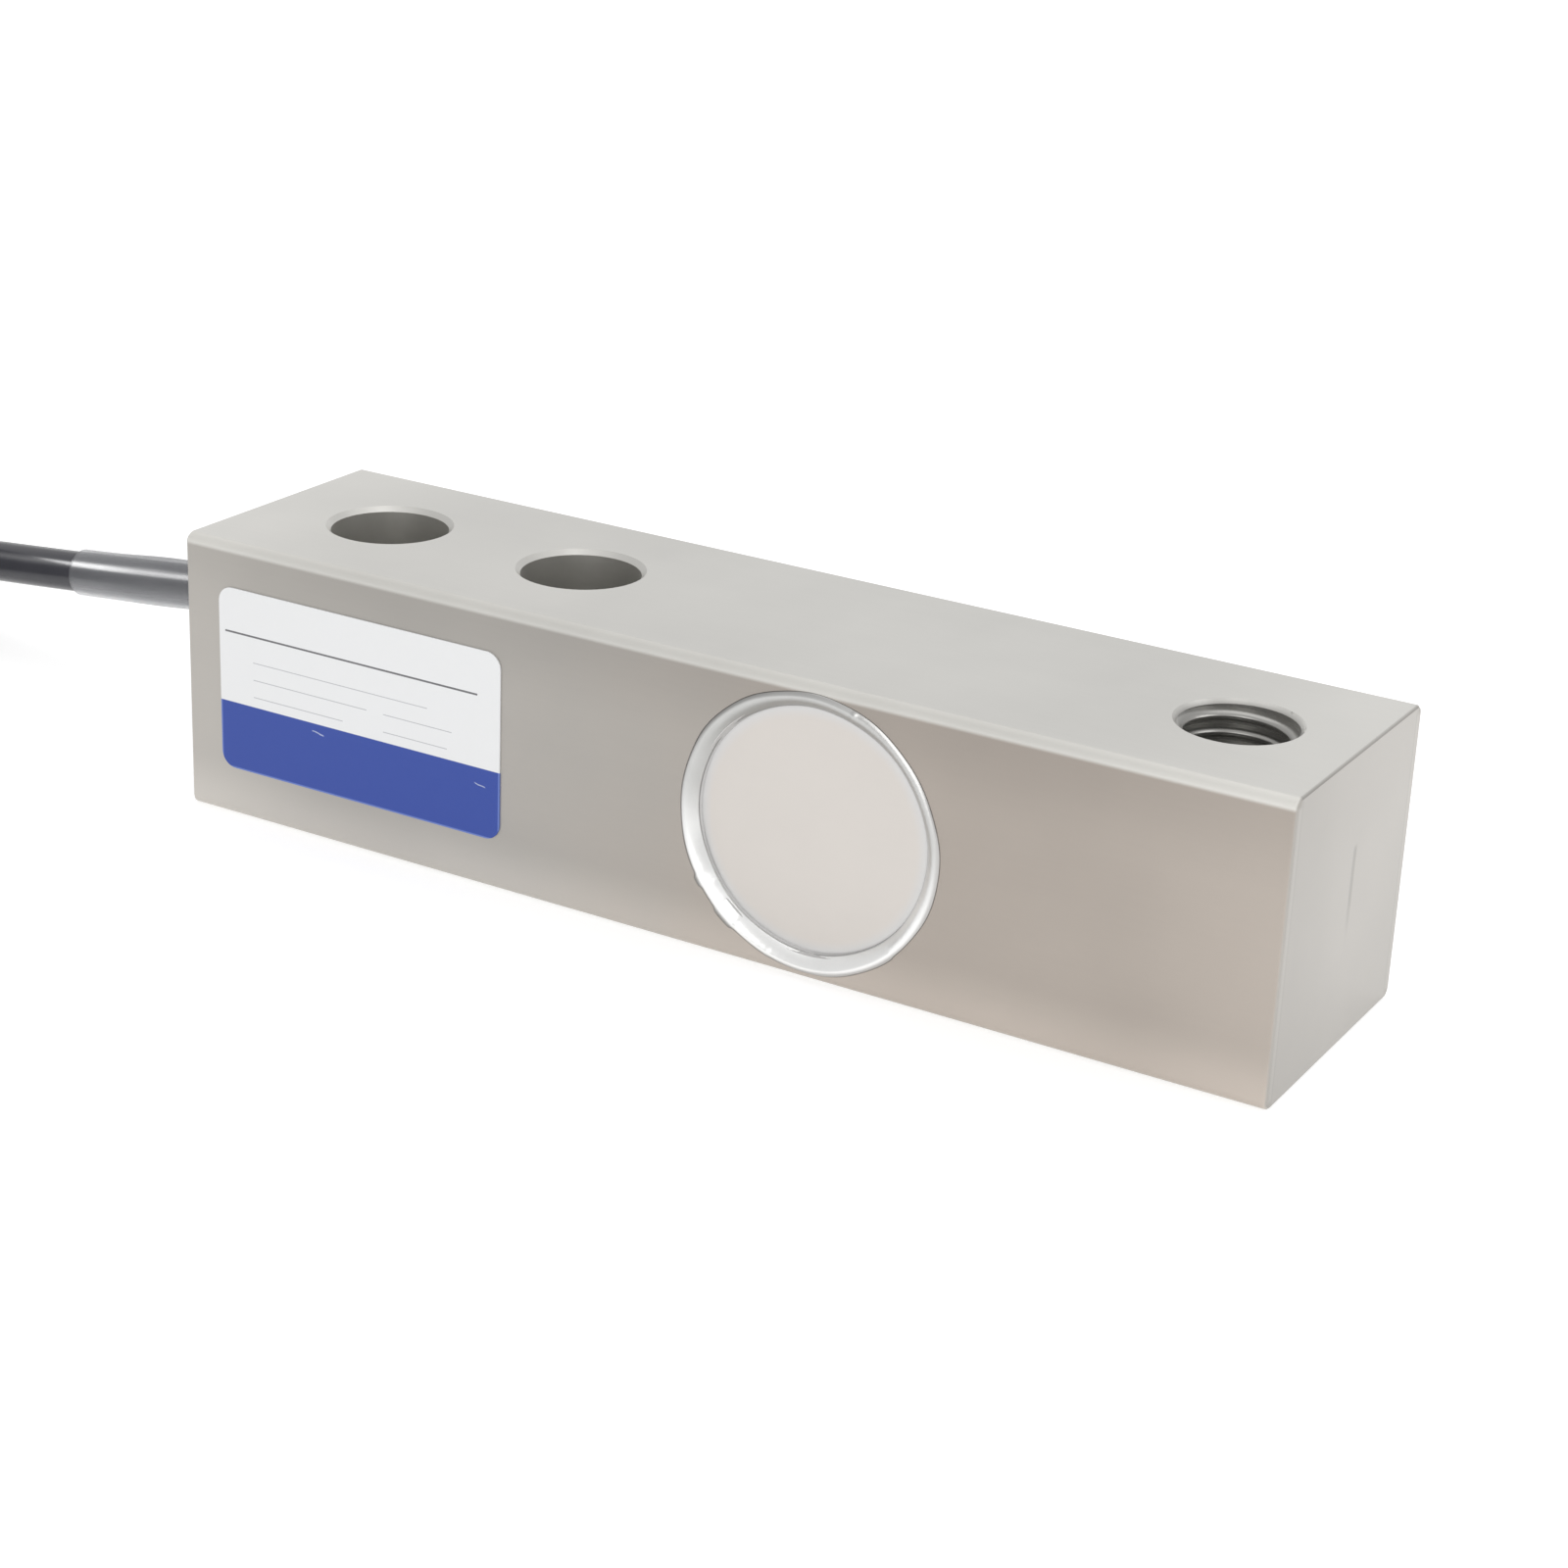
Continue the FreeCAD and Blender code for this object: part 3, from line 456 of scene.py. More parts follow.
def addBead(side, name, node):
    # A closed section carried round the cover's rim. It rises from the inner toe as
    # 1 - (1 - u)^swell to the crown and falls as 1 - w^2 to the outer toe, where u and w go from
    # 0 to 1; slow waves, fine ripples and the runs of the table are added.
    degrees = np.linspace(0, 360, bead["around"], endpoint=False)[:, None]
    angle = np.radians(degrees)
    extraHeight, extraReach = 0 * angle, 0 * angle
    for start, end, softStart, softEnd, height, reach in bead["runs"]:
        # a gate that opens and closes as 1 / (1 + e^-t); the limits keep e^t a number
        opening = 1 / (1 + np.exp(np.clip((start - degrees) / softStart, -50, 50)))
        gate = opening / (1 + np.exp(np.clip((degrees - end) / softEnd, -50, 50)))
        extraHeight, extraReach = extraHeight + gate * height, extraReach + gate * reach
    inner = bead["inner"] + waves(angle, bead["innerWaves"])
    outer = bead["outer"] + waves(angle, bead["outerWaves"]) + extraReach
    arch = np.linspace(0, 1, bead["across"])[None, :]
    radius = inner + (outer - inner) * arch
    crown = bead["crown"] * (1 + waves(angle, bead["crownWaves"])) + extraHeight
    rise = 1 - (1 - np.clip(arch / bead["crest"], 0, 1)) ** bead["swell"]
    fall = np.clip((arch - bead["crest"]) / (1 - bead["crest"]), 0, 1) ** 2
    bow = np.sin(math.pi * arch)
    ripple = bead["ripple"] * np.sin(angle * bead["ripples"] - bead["rippleLean"] * bow) * bow
    height = -bead["sink"] + (crown + bead["sink"]) * rise - crown * fall + ripple
    groove = np.broadcast_to(np.array(bead["groove"]), (len(angle), len(bead["groove"]), 2))
    radius = np.concatenate([radius, groove[:, :, 0]], axis=1)
    height = np.concatenate([height, groove[:, :, 1]], axis=1)
    face = barLow[1] if side < 0 else barHigh[1]
    section = np.stack([coverMiddle[0] + radius * np.cos(angle), face + side * height,
                        coverMiddle[2] + radius * np.sin(angle)], axis=-1)
    piece = addPiece(name, shell(section, rowsClose=True))
    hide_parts(node)
    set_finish(piece, "weld_steel")
    return piece


beadPieces = [addBead(-1, "frontBead", "front_weld_bead"), addBead(1, "rearBead", "rear_weld_bead")]

thread = {
    "place": 52.3,  # along the bar
    "root": 6.02,
    "crest": 5.1,
    "pitch": 1.75,
    "flank": 0.76,  # half the ridge's foot
    "crestHalf": 0.16,
    "crestRound": 0.05,  # how far the crest's two sides stand back
    "back": 0.2,  # how far the ridge reaches into the steel
    "cutBack": 0.4,  # and how far it may where a cone cuts it
    "shy": 0.02,  # of the bar's top and underside
    "sink": 6.45,  # the countersink's rim; its cone cuts the ridge too
    "around": 72,
}


def addThread():
    # A ridge's section carried along a helix: its height is the pitch times the turns so far. No
    # point stands inside the two cones, whose radius shrinks by the depth below the face.
    depth = barHigh[2]
    turns = depth / thread["pitch"]
    angle = np.linspace(0, 2 * math.pi * turns, int(thread["around"] * turns))[:, None]
    root, crest, flank, half = (thread[key] for key in ("root", "crest", "flank", "crestHalf"))
    shoulder = crest + thread["crestRound"]
    section = np.array([(root, -flank), (shoulder, -half), (crest, 0.0), (shoulder, half),
                        (root, flank), (root + thread["back"], 0.0)])
    height = angle / (2 * math.pi) * thread["pitch"] + section[None, :, 1]
    height = np.clip(height, thread["shy"], depth - thread["shy"])
    cone = thread["sink"] - np.minimum(height, depth - height)
    radius = np.clip(np.maximum(section[None, :, 0], cone), None, root + thread["cutBack"])
    ridge = np.stack([thread["place"] + radius * np.cos(angle), radius * np.sin(angle), height],
                     axis=-1)
    piece = addPiece("threadRidge", shell(ridge))
    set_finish(piece, "beam_steel")
    return piece


threadPiece = addThread()
print("welds and thread built")


def feed(tree, socket, value):
    # links a wire to a socket, or sets it to a number, a vector or a colour
    if isinstance(value, Wire):
        tree.links.new(value.socket, socket)
    elif socket.type == "RGBA":
        socket.default_value = (*value, 1)
    else:
        socket.default_value = value


class Wire:  # an output socket; arithmetic on it adds Math nodes to its material
    def __init__(self, tree, socket):
        self.tree, self.socket = tree, socket

    def node(self, kind, settings=(), values=(), out=0):
        made = self.tree.nodes.new("ShaderNode" + kind)
        for name, choice in dict(settings).items():
            setattr(made, name, choice)
        for name, value in dict(values).items():
            feed(self.tree, made.inputs[name], value)
        return Wire(self.tree, made.outputs[out])

    def maths(self, operation, *values):
        return self.node("Math", {"operation": operation}, dict(enumerate(values)))

    def __add__(self, other):
        return self.maths("ADD", self, other)

    def __sub__(self, other):
        return self.maths("SUBTRACT", self, other)

    def __rsub__(self, other):
        return self.maths("SUBTRACT", other, self)

    def __mul__(self, other):
        return self.maths("MULTIPLY", self, other)

    def __pow__(self, other):
        return self.maths("POWER", self, other)

    def __abs__(self):
        return self.maths("ABSOLUTE", self)

    def __gt__(self, other):
        return self.maths("GREATER_THAN", self, other)

    def __lt__(self, other):
        return self.maths("LESS_THAN", self, other)

    __radd__, __rmul__ = __add__, __mul__

    def parts(self):  # x, y and z
        return (self.node("SeparateXYZ", {}, {0: self}, out=axis) for axis in range(3))

    def noise(self, scale, detail=2.0, roughness=0.5, stretch=(1, 1, 1)):
        where = self.node("VectorMath", {"operation": "MULTIPLY"}, {0: self, 1: stretch})
        values = {"Vector": where, "Scale": scale, "Detail": detail, "Roughness": roughness}
        return self.node("TexNoise", {}, values)

    def step(self, low, high):  # 0 below low, 1 above high, smooth between
        settings = {"interpolation_type": "SMOOTHSTEP"}
        return self.node("MapRange", settings, {"Value": self, "From Min": low, "From Max": high})

    def within(self, low, high, soft):  # 1 from low to high, smooth outside
        return self.step(low - soft, low) * (1 - self.step(high, high + soft))

    def between(self, low, high):  # mixes two colours by this value
        return self.node("Mix", {"data_type": "RGBA"}, {0: self, 6: low, 7: high}, out=2)

    def shaded(self, level):  # a colour times a number
        return self.node("VectorMath", {"operation": "SCALE"}, {0: self, "Scale": level})

    def bumped(self, height):  # a surface raised by a height in mm
        return self.node("Bump", {}, {"Height": height, "Distance": mm})


def newFinish(name):
    # a material and the place on the piece, in mm
    material = bpy.data.materials.new(name)
    material.use_nodes = True
    tree = material.node_tree
    start = Wire(tree, tree.nodes.new("ShaderNodeTexCoord").outputs["Object"])
    return material, start.shaded(1 / mm)


socketNames = {
    "Colour": "Base Color",
    "Specular": "Specular IOR Level",
    "Coat": "Coat Weight",
    "CoatRoughness": "Coat Roughness",
    "Glow": "Emission Strength",
    "GlowColour": "Emission Color",
}


def setFinish(material, **values):
    tree = material.node_tree
    for name, value in values.items():
        feed(tree, tree.nodes["Principled BSDF"].inputs[socketNames.get(name, name)], value)
    return material


def darker(colour, share):
    return tuple(channel * share for channel in colour)


barSteel = {
    # the faces' tones hold painted light: the top is painted lighter and the sides and ends darker
    "top": (0.64, 0.63, 0.60),
    "sides": (0.412, 0.393, 0.367),  # at the cable end
    "sidesWarm": (0.394, 0.353, 0.316),  # at the load end
    "warming": (-35.0, 35.0),  # along the bar
    "warmingDrift": 60.0,  # how far the clouds move that
    "ends": (0.449, 0.430, 0.403),
    "metallic": 0.9,
    "roughness": 0.34,
    "sideRoughness": 0.48,
    "edgeRoughness": 0.65,
    # where each face and the rounded edges begin, in mm from the bar's middle or its underside
    "sideFace": (15.0, 15.85),
    "topFace": (30.5, 31.0),
    "endFace": (64.7, 64.95),
    "edges": (14.6, 15.3),
    "middleHeight": 15.9,
    # noise: scale per mm, detail, roughness and stretch
    "clouds": (0.035, 3, 0.55),
    "lines": (1.6, 4, 0.65, (0.02, 1, 1)),
    "fineLines": (7.0, 3, 0.6, (0.03, 1, 1)),
    "endLines": (7.0, 3, 0.6, (1, 1, 0.05)),
    "cloud": 0.11,  # how much the colour drifts over a few centimetres
    "grain": 0.05,
    "grainHeight": 0.0016,
    "grainRoughness": 0.14,
    "bore": 0.55,  # painted shade: how light the thread inside the hole is beside the rest
    "boreWall": (5.8, 6.4),
    # marks on the ends: where they begin along the bar, then each one's place, softness and tone
    "marks": (64.5, 64.9),
    "scribeAcross": (0.7, 1.1, 0.4),
    "scribeFoot": (11.0, 17.0),
    "scribeHead": (21.2, 22.0),
    "scribe": 0.2,
    "scribeDepth": 0.02,
    # painted light beside the ends' rounded corners: a lighter band of painted highlight, and a
    # darker streak of painted shade just inward of it, whose darkness is groove
    "cornerHighlightAt": (14.7, 14.9),
    "cornerHighlight": 0.04,
    "cornerShadeAt": (14.55, 14.7, 0.15),
    "groove": 0.06,
    # how much lighter or darker a face is toward its own rims, and where that begins
    "footAt": (0.5, 7.0),
    "paintedFloorLight": 0.27,  # painted light: lighter along the sides' lower edge, for the bright floor's bounce
    "browAt": (21.5, 31.0),
    "brow": 0.12,  # darker along their upper edge
    "tipsAt": (45.0, 65.0),
    "sideEnds": 0.12,  # lighter at both ends
    "topEnds": 0.09,
    "endShadeAt": (-15.0, 0.0),
    "endShade": 0.08,  # darker on the ends' front half
}


def barFinish():
    # Each pair of faces has its own tone, painted lighter on the top and darker on the sides and
    # ends as painted light and shade for how the lamps fall on them; fine lines run along the bar
    # on the top and sides, and up and down on the ends.
    material, place = newFinish("barSteel")
    along, across, up = place.parts()
    onSide = abs(across).step(*barSteel["sideFace"]) * (1 - up.step(*barSteel["topFace"]))
    onEnd = abs(along).step(*barSteel["endFace"])
    onTop = (1 - onSide) * (1 - onEnd)
    rounded = abs(across).step(*barSteel["edges"])
    rounded = rounded * abs(up - barSteel["middleHeight"]).step(*barSteel["edges"])

    cloud = place.noise(*barSteel["clouds"])
    warmth = (along + (cloud - 0.5) * barSteel["warmingDrift"]).step(*barSteel["warming"])
    side = warmth.between(barSteel["sides"], barSteel["sidesWarm"])
    # painted light and shade: the top, the sides and the ends each get their own tone
    tone = onEnd.between(onSide.between(barSteel["top"], side), barSteel["ends"])
    lines, fine = place.noise(*barSteel["lines"]), place.noise(*barSteel["fineLines"])
    grain = onEnd * place.noise(*barSteel["endLines"]) + (1 - onEnd) * (lines * 0.5 + fine * 0.5)

    onTips = abs(along).step(*barSteel["marks"])
    scribe = along.step(*barSteel["marks"]) * across.within(*barSteel["scribeAcross"])
    scribe = scribe * up.step(*barSteel["scribeFoot"]) * (1 - up.step(*barSteel["scribeHead"]))
    # a painted highlight band and a streak of painted shade beside the ends' rounded corners
    cornerHighlight = onTips * abs(across).step(*barSteel["cornerHighlightAt"])
    groove = onTips * abs(across).within(*barSteel["cornerShadeAt"])
    fromBore = ((along - thread["place"]) ** 2 + across**2) ** 0.5
    inBore = 1 - fromBore.step(*barSteel["boreWall"])

    level = 1.0 + (cloud - 0.5) * (2 * barSteel["cloud"]) + (grain - 0.5) * (2 * barSteel["grain"])
    level = level - scribe * barSteel["scribe"]
    # painted light: the sides are lighter along their lower edge, for the floor's bounce
    paintedFloorLight, brow = 1 - up.step(*barSteel["footAt"]), up.step(*barSteel["browAt"])
    tips = abs(along).step(*barSteel["tipsAt"])
    sideLevel = paintedFloorLight * barSteel["paintedFloorLight"] + tips * barSteel["sideEnds"] - brow * barSteel["brow"]
    level = level + onSide * (1 - onEnd) * sideLevel + onTop * tips * barSteel["topEnds"]
    level = level - onEnd * (1 - across.step(*barSteel["endShadeAt"])) * barSteel["endShade"]
    # painted shade inside the threaded hole
    level = level * (1 - inBore * (1 - barSteel["bore"]))
    # painted highlight and painted shade beside the corners
    level = level * (1 + cornerHighlight * barSteel["cornerHighlight"] - groove * barSteel["groove"])

    top, sides, edges = (barSteel[key] for key in ("roughness", "sideRoughness", "edgeRoughness"))
    roughness = onSide.step(0.0, 1.0) * (sides - top) + top
    roughness = roughness + rounded * (1 - onSide) * (edges - top)
    roughness = roughness + (grain - 0.5) * barSteel["grainRoughness"]
    height = grain * barSteel["grainHeight"] - scribe * barSteel["scribeDepth"]
    return setFinish(material, Colour=tone.shaded(level), Metallic=barSteel["metallic"],
                     Roughness=roughness, Normal=place.bumped(height))


def fromCoverAxis(place):
    # steps to the right of the cover's axis and above it, and the distance from it
    x, _, z = place.parts()
    rightwards, above = x - float(coverMiddle[0]), z - float(coverMiddle[2])
    return rightwards, above, (rightwards**2 + above**2) ** 0.5


coverSteel = {
    "floor": ((0.59, 0.56, 0.53), (0.64, 0.605, 0.57)),
    "border": (0.62, 0.615, 0.61),
    "borderAt": (11.6, 13.0),  # mm from the axis
    # painted shade: darker in the crevice where the floor turns up into the rim
    "creviceShade": (0.58, 0.575, 0.57),
    "creviceAt": (12.95, 13.3, 0.2),
    "metallic": 0.92,
    "roughness": 0.40,
    "borderRoughness": 0.06,  # more than on the floor
    "grainRoughness": 0.06,
    "grainHeight": 0.0005,
    "clouds": (0.05, 4, 0.6),
    "lines": (2.2, 3, 0.6, (0.12, 1, 1)),
}


def coverFinish():
    # smooth pressed sheet with a border, and a crevice where the floor turns up into the rim that
    # is painted darker as shade
    material, place = newFinish("coverSteel")
    _, _, distance = fromCoverAxis(place)
    grain = place.noise(*coverSteel["lines"])
    border = distance.step(*coverSteel["borderAt"])
    # painted shade in the crevice
    creviceShade = distance.within(*coverSteel["creviceAt"])
    floor = place.noise(*coverSteel["clouds"]).between(*coverSteel["floor"])
    colour = creviceShade.between(border.between(floor, coverSteel["border"]), coverSteel["creviceShade"])
    roughness = coverSteel["roughness"] + border * coverSteel["borderRoughness"]
    roughness = roughness + (grain - 0.5) * coverSteel["grainRoughness"]
    return setFinish(material, Colour=colour, Metallic=coverSteel["metallic"], Roughness=roughness,
                     Normal=place.bumped(grain * coverSteel["grainHeight"]))


weldSteel = {
    # painted light and shade: the lower half is painted bright and the upper half darker
    "upper": ((0.47, 0.47, 0.46), (0.57, 0.57, 0.56)),
    "lower": ((0.88, 0.88, 0.87), (0.98, 0.98, 0.97)),
    "upperAt": (-9.0, 5.0),  # mm above the axis
    # painted shade, darkest inside the top of the ring
    "topShade": (0.41, 0.41, 0.40),
    "shelfAt": (5.0, 11.0),
    "shelfRim": (13.7, 14.2),  # mm from the axis
    "toe": ((0.34, 0.335, 0.325), (0.50, 0.495, 0.485)),  # painted shade along the outer toe: left and right, darker on the left
    "toeTurn": (-9.0, 4.0),
    "toeAt": (14.4, 14.85),
    "metallic": 0.9,
    "roughness": 0.3,
    "grainRoughness": 0.08,
    "grainHeight": 0.0006,
    "clouds": (0.25, 3, 0.5),
    "grain": (5.0, 3, 0.6),
}


def weldFinish():
    # melted steel with painted light and shade: painted bright on its lower half, darker on its
    # upper half and darkest inside the top of the ring, with a soft line of painted shade along its
    # outer toe that is darker on the left
    material, place = newFinish("weldSteel")
    rightwards, above, distance = fromCoverAxis(place)
    cloud, grain = place.noise(*weldSteel["clouds"]), place.noise(*weldSteel["grain"])
    upper, lower = cloud.between(*weldSteel["upper"]), cloud.between(*weldSteel["lower"])
    topShade = above.step(*weldSteel["shelfAt"]) * (1 - distance.step(*weldSteel["shelfRim"]))
    # painted light and shade: bright below, darker above, darkest inside the top of the ring, and
    # painted shade along the outer toe
    colour = above.step(*weldSteel["upperAt"]).between(lower, upper)
    colour = topShade.between(colour, weldSteel["topShade"])
    # painted shade along the outer toe, darker on the left
    toeColour = rightwards.step(*weldSteel["toeTurn"]).between(*weldSteel["toe"])
    colour = distance.step(*weldSteel["toeAt"]).between(colour, toeColour)
    roughness = weldSteel["roughness"] + (grain - 0.5) * weldSteel["grainRoughness"]
    return setFinish(material, Colour=colour, Metallic=weldSteel["metallic"], Roughness=roughness,
                     Normal=place.bumped(grain * weldSteel["grainHeight"]))


drawnMetal = {
    "dark": 0.86,  # how light its dark streaks are beside the rest
    "metallic": 0.92,
    "grainRoughness": 0.12,
    "grainHeight": 0.001,
    "clouds": (0.05, 4, 0.6),
    "lines": (2.2, 3, 0.6, (0.12, 1, 1)),
    "fineLines": (9.0, 2, 0.6, (0.1, 1, 1)),
}


def metalFinish(name, colour, roughness):
    material, place = newFinish(name)
    cloud, grain, fine = (place.noise(*drawnMetal[key]) for key in ("clouds", "lines", "fineLines"))
    colour = (cloud * 0.5 + grain * 0.5).between(darker(colour, drawnMetal["dark"]), colour)
    height = (grain + fine * 0.5) * drawnMetal["grainHeight"]
    return setFinish(material, Colour=colour, Metallic=drawnMetal["metallic"],
                     Roughness=roughness + (grain - 0.5) * drawnMetal["grainRoughness"],
                     Normal=place.bumped(height))


moulded = {
    "dark": 0.8,  # how light its dark clouds are beside the rest
    "grainRoughness": 0.1,
    "clouds": (0.4, 3),
    "grain": (6.0, 2),
}


def plastic(name, colour, roughness=0.45, grainHeight=0.004, **more):
    material, place = newFinish(name)
    cloud, grain = place.noise(*moulded["clouds"]), place.noise(*moulded["grain"])
    return setFinish(material, Colour=cloud.between(darker(colour, moulded["dark"]), colour),
                     Roughness=roughness + (grain - 0.5) * moulded["grainRoughness"],
                     Normal=place.bumped(grain * grainHeight), **more)


clearFilm = {
    # painted reflection: lighter on the lower half for the floor's reflection, darker above
    "paintedSheen": ((0.34, 0.345, 0.36), (0.42, 0.425, 0.44)),
    "clear": ((0.13, 0.132, 0.14), (0.20, 0.203, 0.215)),
    "haze": (0.25, 3, 0.5, (0.4, 1, 1)),
    "sag": (0.111, 0.55),  # the cable's middle: slope, and height at the bar
    "upperDarkAt": (-2.0, 0.6),  # mm above that middle
    "upperDarkDrift": 1.5,
    "alpha": 0.26,  # where one looks straight at it
    "edgeAlpha": 0.6,  # and more towards its edges
    "edgeCurve": 1.5,
    "hazeAlpha": 0.05,
    "roughness": 0.3,
    "coat": 0.2,
    "tipCoat": 0.8,  # more where it grips the jacket
    "tipAt": (28.0, 36.0),  # mm away from the bar
    "coatRoughness": 0.2,
}


def sleeveFinish():
    # Clear film that lets the black jacket through where one looks straight at it and is milky at
    # its edges; its colour is painted lighter along its lower half and darker above, a painted
    # reflection of the floor.
    material, place = newFinish("clearSleeve")
    x, _, z = place.parts()
    away = float(entry[0]) - x
    haze = place.noise(*clearFilm["haze"])
    slope, start = clearFilm["sag"]
    above = z - float(entry[2]) + away * slope - start
    # the lower half is painted lighter as a reflection of the floor, the upper half darker
    upperDark = (above + (haze - 0.5) * clearFilm["upperDarkDrift"]).step(*clearFilm["upperDarkAt"])
    paintedSheen, clear = haze.between(*clearFilm["paintedSheen"]), haze.between(*clearFilm["clear"])
    facing = place.node("LayerWeight", {}, {"Blend": 0.5}, out=1)
    alpha = clearFilm["alpha"] + facing ** clearFilm["edgeCurve"] * clearFilm["edgeAlpha"]
    alpha = alpha + haze * clearFilm["hazeAlpha"]
    coat = away.step(*clearFilm["tipAt"]) * clearFilm["tipCoat"] + clearFilm["coat"]
    return setFinish(material, Colour=upperDark.between(paintedSheen, clear), Alpha=alpha, Coat=coat,
                     Roughness=clearFilm["roughness"], CoatRoughness=clearFilm["coatRoughness"])


cores = {
    "bare": 3.0,  # stripped and tinned length
    "cut": 0.1,  # softness of the insulation's edge
    "tin": ((0.5, 0.5, 0.49), (0.78, 0.77, 0.74)),
    "dark": 0.8,  # how light the insulation's dark clouds are beside the rest
    "roughness": 0.34,
    "tinRoughness": 0.06,  # less than the insulation
    "tinMetallic": 0.9,
    "strandHeight": 0.03,
    "clouds": (0.4, 3),
    "strands": (5.0, 2, 0.5, (0.1, 1, 1)),
}


def coreFinish(colour, node):
    # coloured insulation with a faint shine, stripped and tinned over the last few millimetres
    material, place = newFinish(node)
    x, _, _ = place.parts()
    tip = float(next(corners(node))[0])
    bare = 1 - x.step(tip + cores["bare"], tip + cores["bare"] + cores["cut"])
    strands = place.noise(*cores["strands"])
    insulation = place.noise(*cores["clouds"]).between(darker(colour, cores["dark"]), colour)
    return setFinish(material, Colour=bare.between(insulation, strands.between(*cores["tin"])),
                     Metallic=bare * cores["tinMetallic"],
                     Roughness=cores["roughness"] - bare * cores["tinRoughness"],
                     Normal=place.bumped(strands * bare * cores["strandHeight"]))


label = {
    "paper": (0.705, 0.71, 0.714),
    "band": (0.013, 0.047, 0.29),
    "bandEdge": (0.10, 0.16, 0.46),
    "bandTop": 7.8,
    "margin": 0.22,
    "soft": 0.1,
    # ruled lines: height and thickness, start and end along the label, grey
    "rules": [
        (15.85, 0.22, 0.8, 34.5, 0.13),
        (12.9, 0.10, 4.6, 28.0, 0.42), (10.9, 0.10, 4.6, 20.0, 0.42),
        (10.9, 0.10, 22.2, 31.2, 0.42), (8.9, 0.10, 4.6, 16.8, 0.42),
        (8.9, 0.10, 22.2, 30.6, 0.42),
    ],
    "ruleTint": 1.05,  # how much bluer than grey the lines are
    "creases": [(13.4, 1.2, 6.8), (34.9, 1.0, 5.9)],  # in the film: middle, length, height
    "creaseSlope": 0.22,
    "creaseWander": 0.3,
    "creaseWaves": 1.2,
    "creaseEnds": 0.3,
    "creaseAcross": (0.1, 0.16, 0.08),
    # painted glints on the creases: their light colour and how far it covers the label
    "creaseGlint": (0.62, 0.68, 0.86),
    "creaseGlintTone": 0.6,
    "creaseHeight": 0.05,
    "roughness": 0.34,
    "grain": (3.0, 2),
    "grainRoughness": 0.06,
    "grainHeight": 0.002,
}


def labelFinish():
    # glossy film: white paper with ruled lines over a blue band, and two small raised creases with
    # painted glints on them
    material, place = newFinish("labelFilm")
    x, _, z = place.parts()
    x, z = x - float(labelLow[0]), z - float(labelLow[2])
    width, _, height = labelHigh - labelLow
    margin, soft, top = label["margin"], label["soft"], label["bandTop"]
    inside = x.within(margin, width - margin, soft) * z.within(margin, height - margin, soft)
    band = inside.between(label["bandEdge"], label["band"])
    colour = z.step(top - soft / 2, top + soft / 2).between(band, label["paper"])
    for low, thickness, start, end, grey in label["rules"]:
        rule = (z > low) * (z < low + thickness) * (x > start) * (x < end)
        colour = rule.between(colour, (grey, grey, grey * label["ruleTint"]))
    grain = place.noise(*label["grain"])
    raised = grain * label["grainHeight"]
    for middle, length, low in label["creases"]:
        wander = z - low + (x - middle) * label["creaseSlope"]
        wander = wander + place.noise(label["creaseWaves"]) * label["creaseWander"]
        crease = x.within(middle - length / 2, middle + length / 2, label["creaseEnds"])
        crease = crease * wander.within(*label["creaseAcross"])
        # painted glint on the crease
        colour = (crease * label["creaseGlintTone"]).between(colour, label["creaseGlint"])
        raised = raised + crease * label["creaseHeight"]
    return setFinish(material, Colour=colour, Normal=place.bumped(raised),
                     Roughness=label["roughness"] + grain * label["grainRoughness"])


finishes = {
    "beam_steel": barFinish(),
    "cover_steel": coverFinish(),
    "weld_steel": weldFinish(),
    "bush_steel": metalFinish("bushSteel", (0.50, 0.49, 0.48), 0.3),
    "potting": plastic("potting", (0.03, 0.03, 0.033)),
    "label_film": labelFinish(),
    "cable_jacket": plastic("cableJacket", (0.042, 0.042, 0.049), 0.2, 0.001, Specular=0.45),
    "clear_sleeve": sleeveFinish(),
    "tie_nylon": plastic("tieNylon", (0.02, 0.02, 0.021), 0.4),
    "shrink_black": plastic("shrinkBlack", (0.022, 0.022, 0.023), 0.5),
    "core_green": coreFinish((0.02, 0.25, 0.06), "core_green"),
    "core_white": coreFinish((0.72, 0.71, 0.68), "core_white"),
    "core_black": coreFinish((0.02, 0.02, 0.02), "core_black"),
    "core_red": coreFinish((0.50, 0.03, 0.02), "core_red"),
    "tinned_copper": metalFinish("tinnedCopper", (0.66, 0.64, 0.60), 0.3),
    "gauge_foil": plastic("gaugeFoil", (0.60, 0.33, 0.06), 0.3),
    "board_green": plastic("boardGreen", (0.03, 0.18, 0.07), 0.35),
    "spacer_nylon": plastic("spacerNylon", (0.70, 0.67, 0.58), 0.5),
    "resistor_black": plastic("resistorBlack", (0.03, 0.03, 0.032), 0.5),
    "enamel_wire": metalFinish("enamelWire", (0.60, 0.22, 0.07), 0.3),
}
slotOfNode = {row["node"]: row["material_slot"] for row in frame["record"]["subparts"]}


def dress(piece, material):
    piece.data.materials.clear()
    piece.data.materials.append(material)


for node, holder in frame["nodes"].items():
    dress(holder, finishes[slotOfNode[node]])
for piece in (cablePiece, sleevePiece, threadPiece, *tiePieces, *beadPieces):
    dress(piece, finishes[piece["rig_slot"]])
print("materials set")

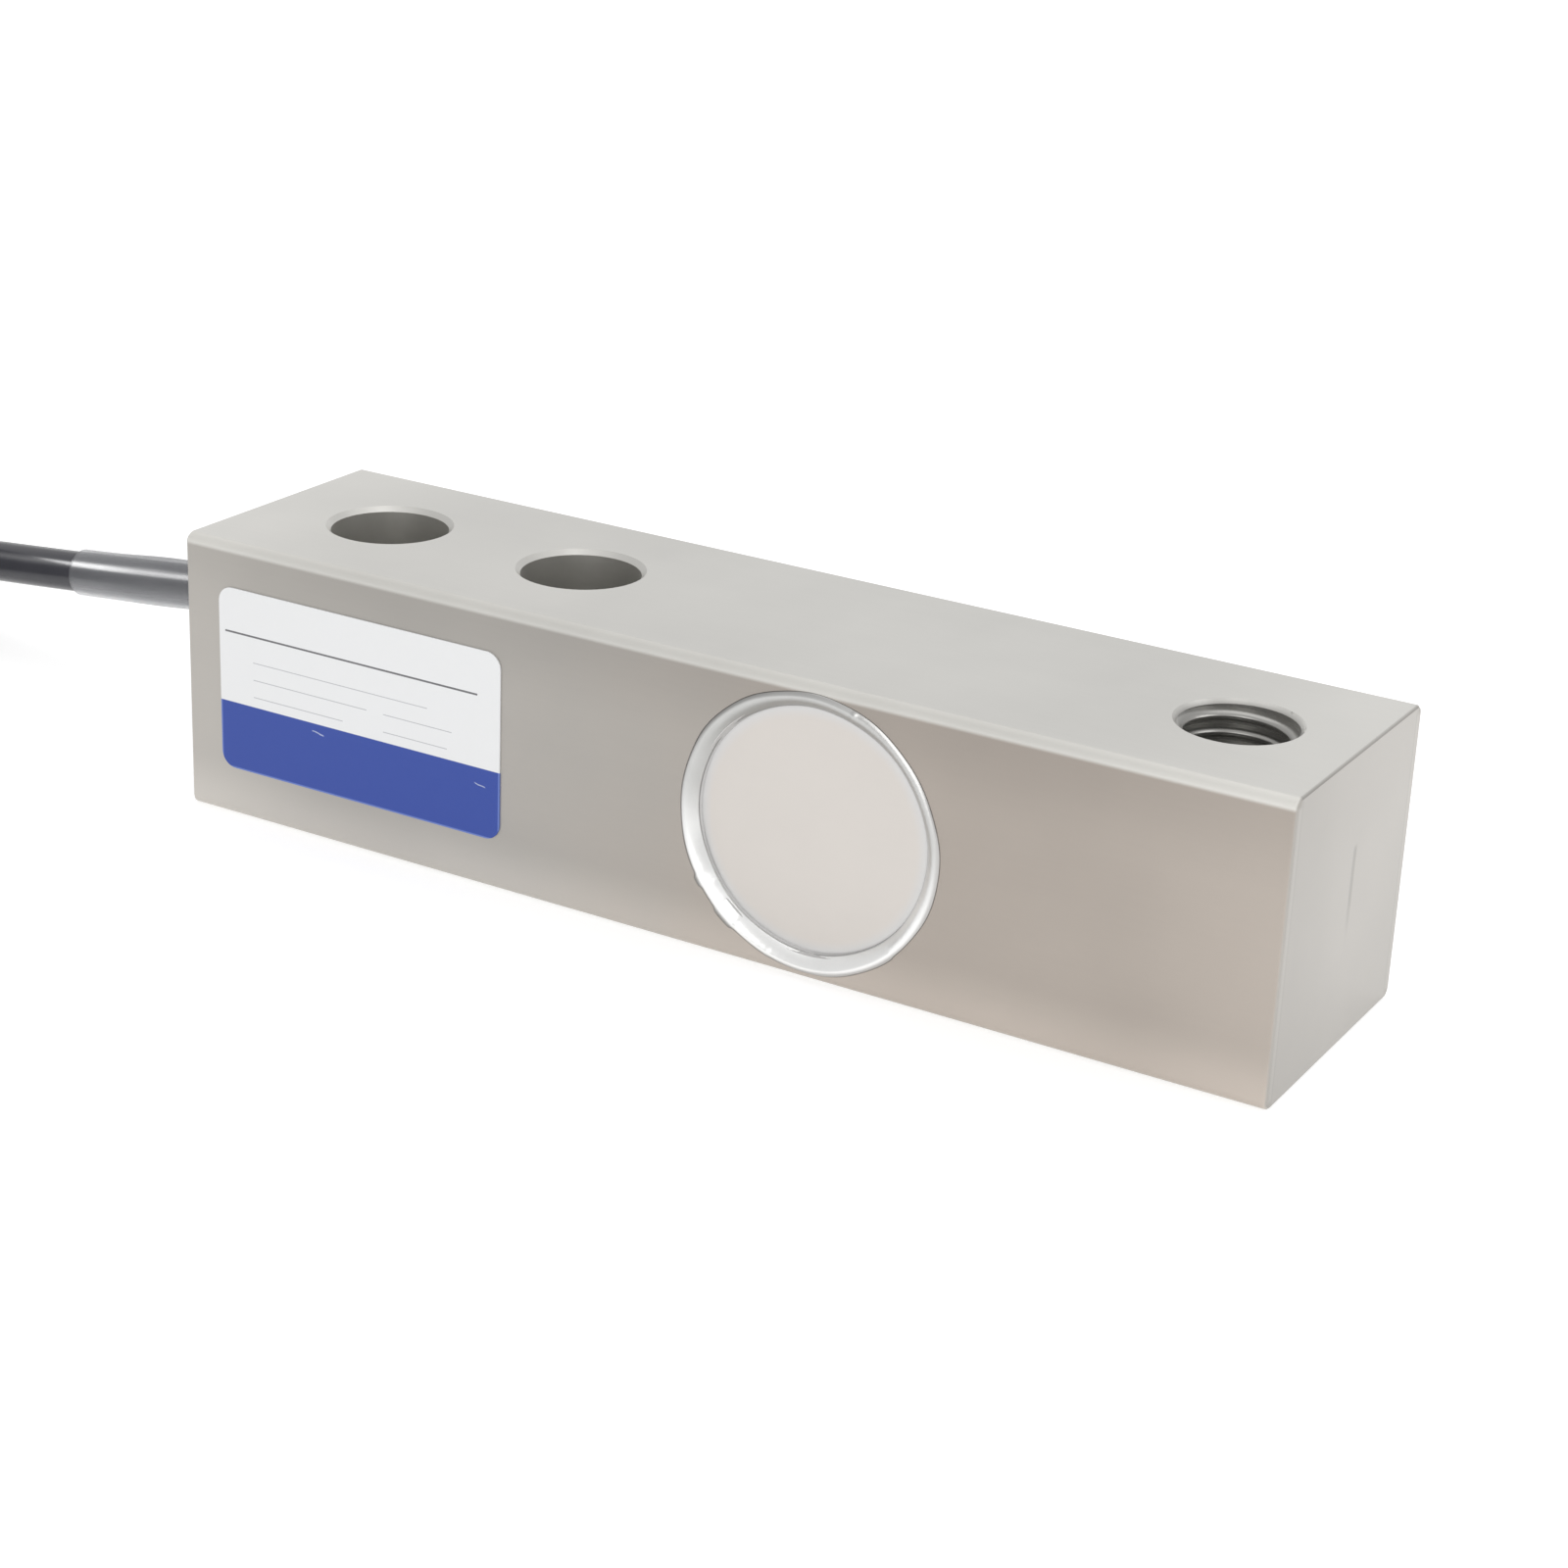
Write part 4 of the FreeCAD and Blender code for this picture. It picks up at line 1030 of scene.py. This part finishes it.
studio = {
    "floor": (0.62, 0.62, 0.62),
    "clouds": 0.01,  # their scale per mm
    "dark": 0.98,  # how light the floor's dark clouds are beside the rest
    "roughness": 0.7,
    "glow": 0.54,  # the table is lit from below
    "reach": 3.0,  # m each way
    "sky": 0.72,
    # name: place in mm, width and height in mm, power in watts
    "lamps": {
        "overhead": ((-80, 160, 900), (800, 800), 1.8),
        "front": ((300, -950, 420), (700, 800), 3.2),
        "right": ((900, 200, 500), (600, 600), 2.0),
        "back": ((-460, 800, 380), (800, 800), 0.3),
        "strip": ((-960, -450, 640), (460, 400), 7.2),
    },
    # the strip lamp lights only these, and only this stands in its way
    "stripLights": (cablePiece, sleevePiece),
    "stripShading": (frame["nodes"]["beam"],),
}


def addFloor():
    reach = studio["reach"]
    rim = [(-reach, -reach, 0), (reach, -reach, 0), (reach, reach, 0), (-reach, reach, 0)]
    mesh = bpy.data.meshes.new("floor")
    mesh.from_pydata(rim, [], [[0, 1, 2, 3]])
    floor = bpy.data.objects.new("floor", mesh)
    bpy.context.scene.collection.objects.link(floor)
    material, place = newFinish("paleFloor")
    cloud = place.noise(studio["clouds"])
    colour = cloud.between(darker(studio["floor"], studio["dark"]), studio["floor"])
    setFinish(material, Colour=colour, Roughness=studio["roughness"],
              Glow=studio["glow"], GlowColour=(1, 1, 1))
    dress(floor, material)


def addSky():
    world = bpy.data.worlds.new("studioSky")
    world.use_nodes = True
    sky = world.node_tree.nodes["Background"].inputs
    sky["Color"].default_value, sky["Strength"].default_value = (1, 1, 1, 1), studio["sky"]
    bpy.context.scene.world = world


def addLamp(name, spot, size, power):
    # looks at the origin; its width lies along the bar
    data = bpy.data.lights.new(name, "AREA")
    data.shape, data.energy = "RECTANGLE", power
    data.size, data.size_y = size[0] * mm, size[1] * mm
    back = np.array(spot) / np.linalg.norm(spot)
    right = np.array([1.0, 0.0, 0.0]) - back * back[0]
    right /= np.linalg.norm(right)
    lamp = bpy.data.objects.new(name, data)
    stand(lamp, spot, right, np.cross(back, right), back)
    return lamp


def groupOf(key):
    group = bpy.data.collections.new(key)
    for piece in studio[key]:
        group.objects.link(piece)
    return group


addFloor()
addSky()
lamps = {name: addLamp(name, *values) for name, values in studio["lamps"].items()}
lamps["strip"].light_linking.receiver_collection = groupOf("stripLights")
lamps["strip"].light_linking.blocker_collection = groupOf("stripShading")
print("studio lit")

bpy.context.scene.view_settings.view_transform = "Standard"
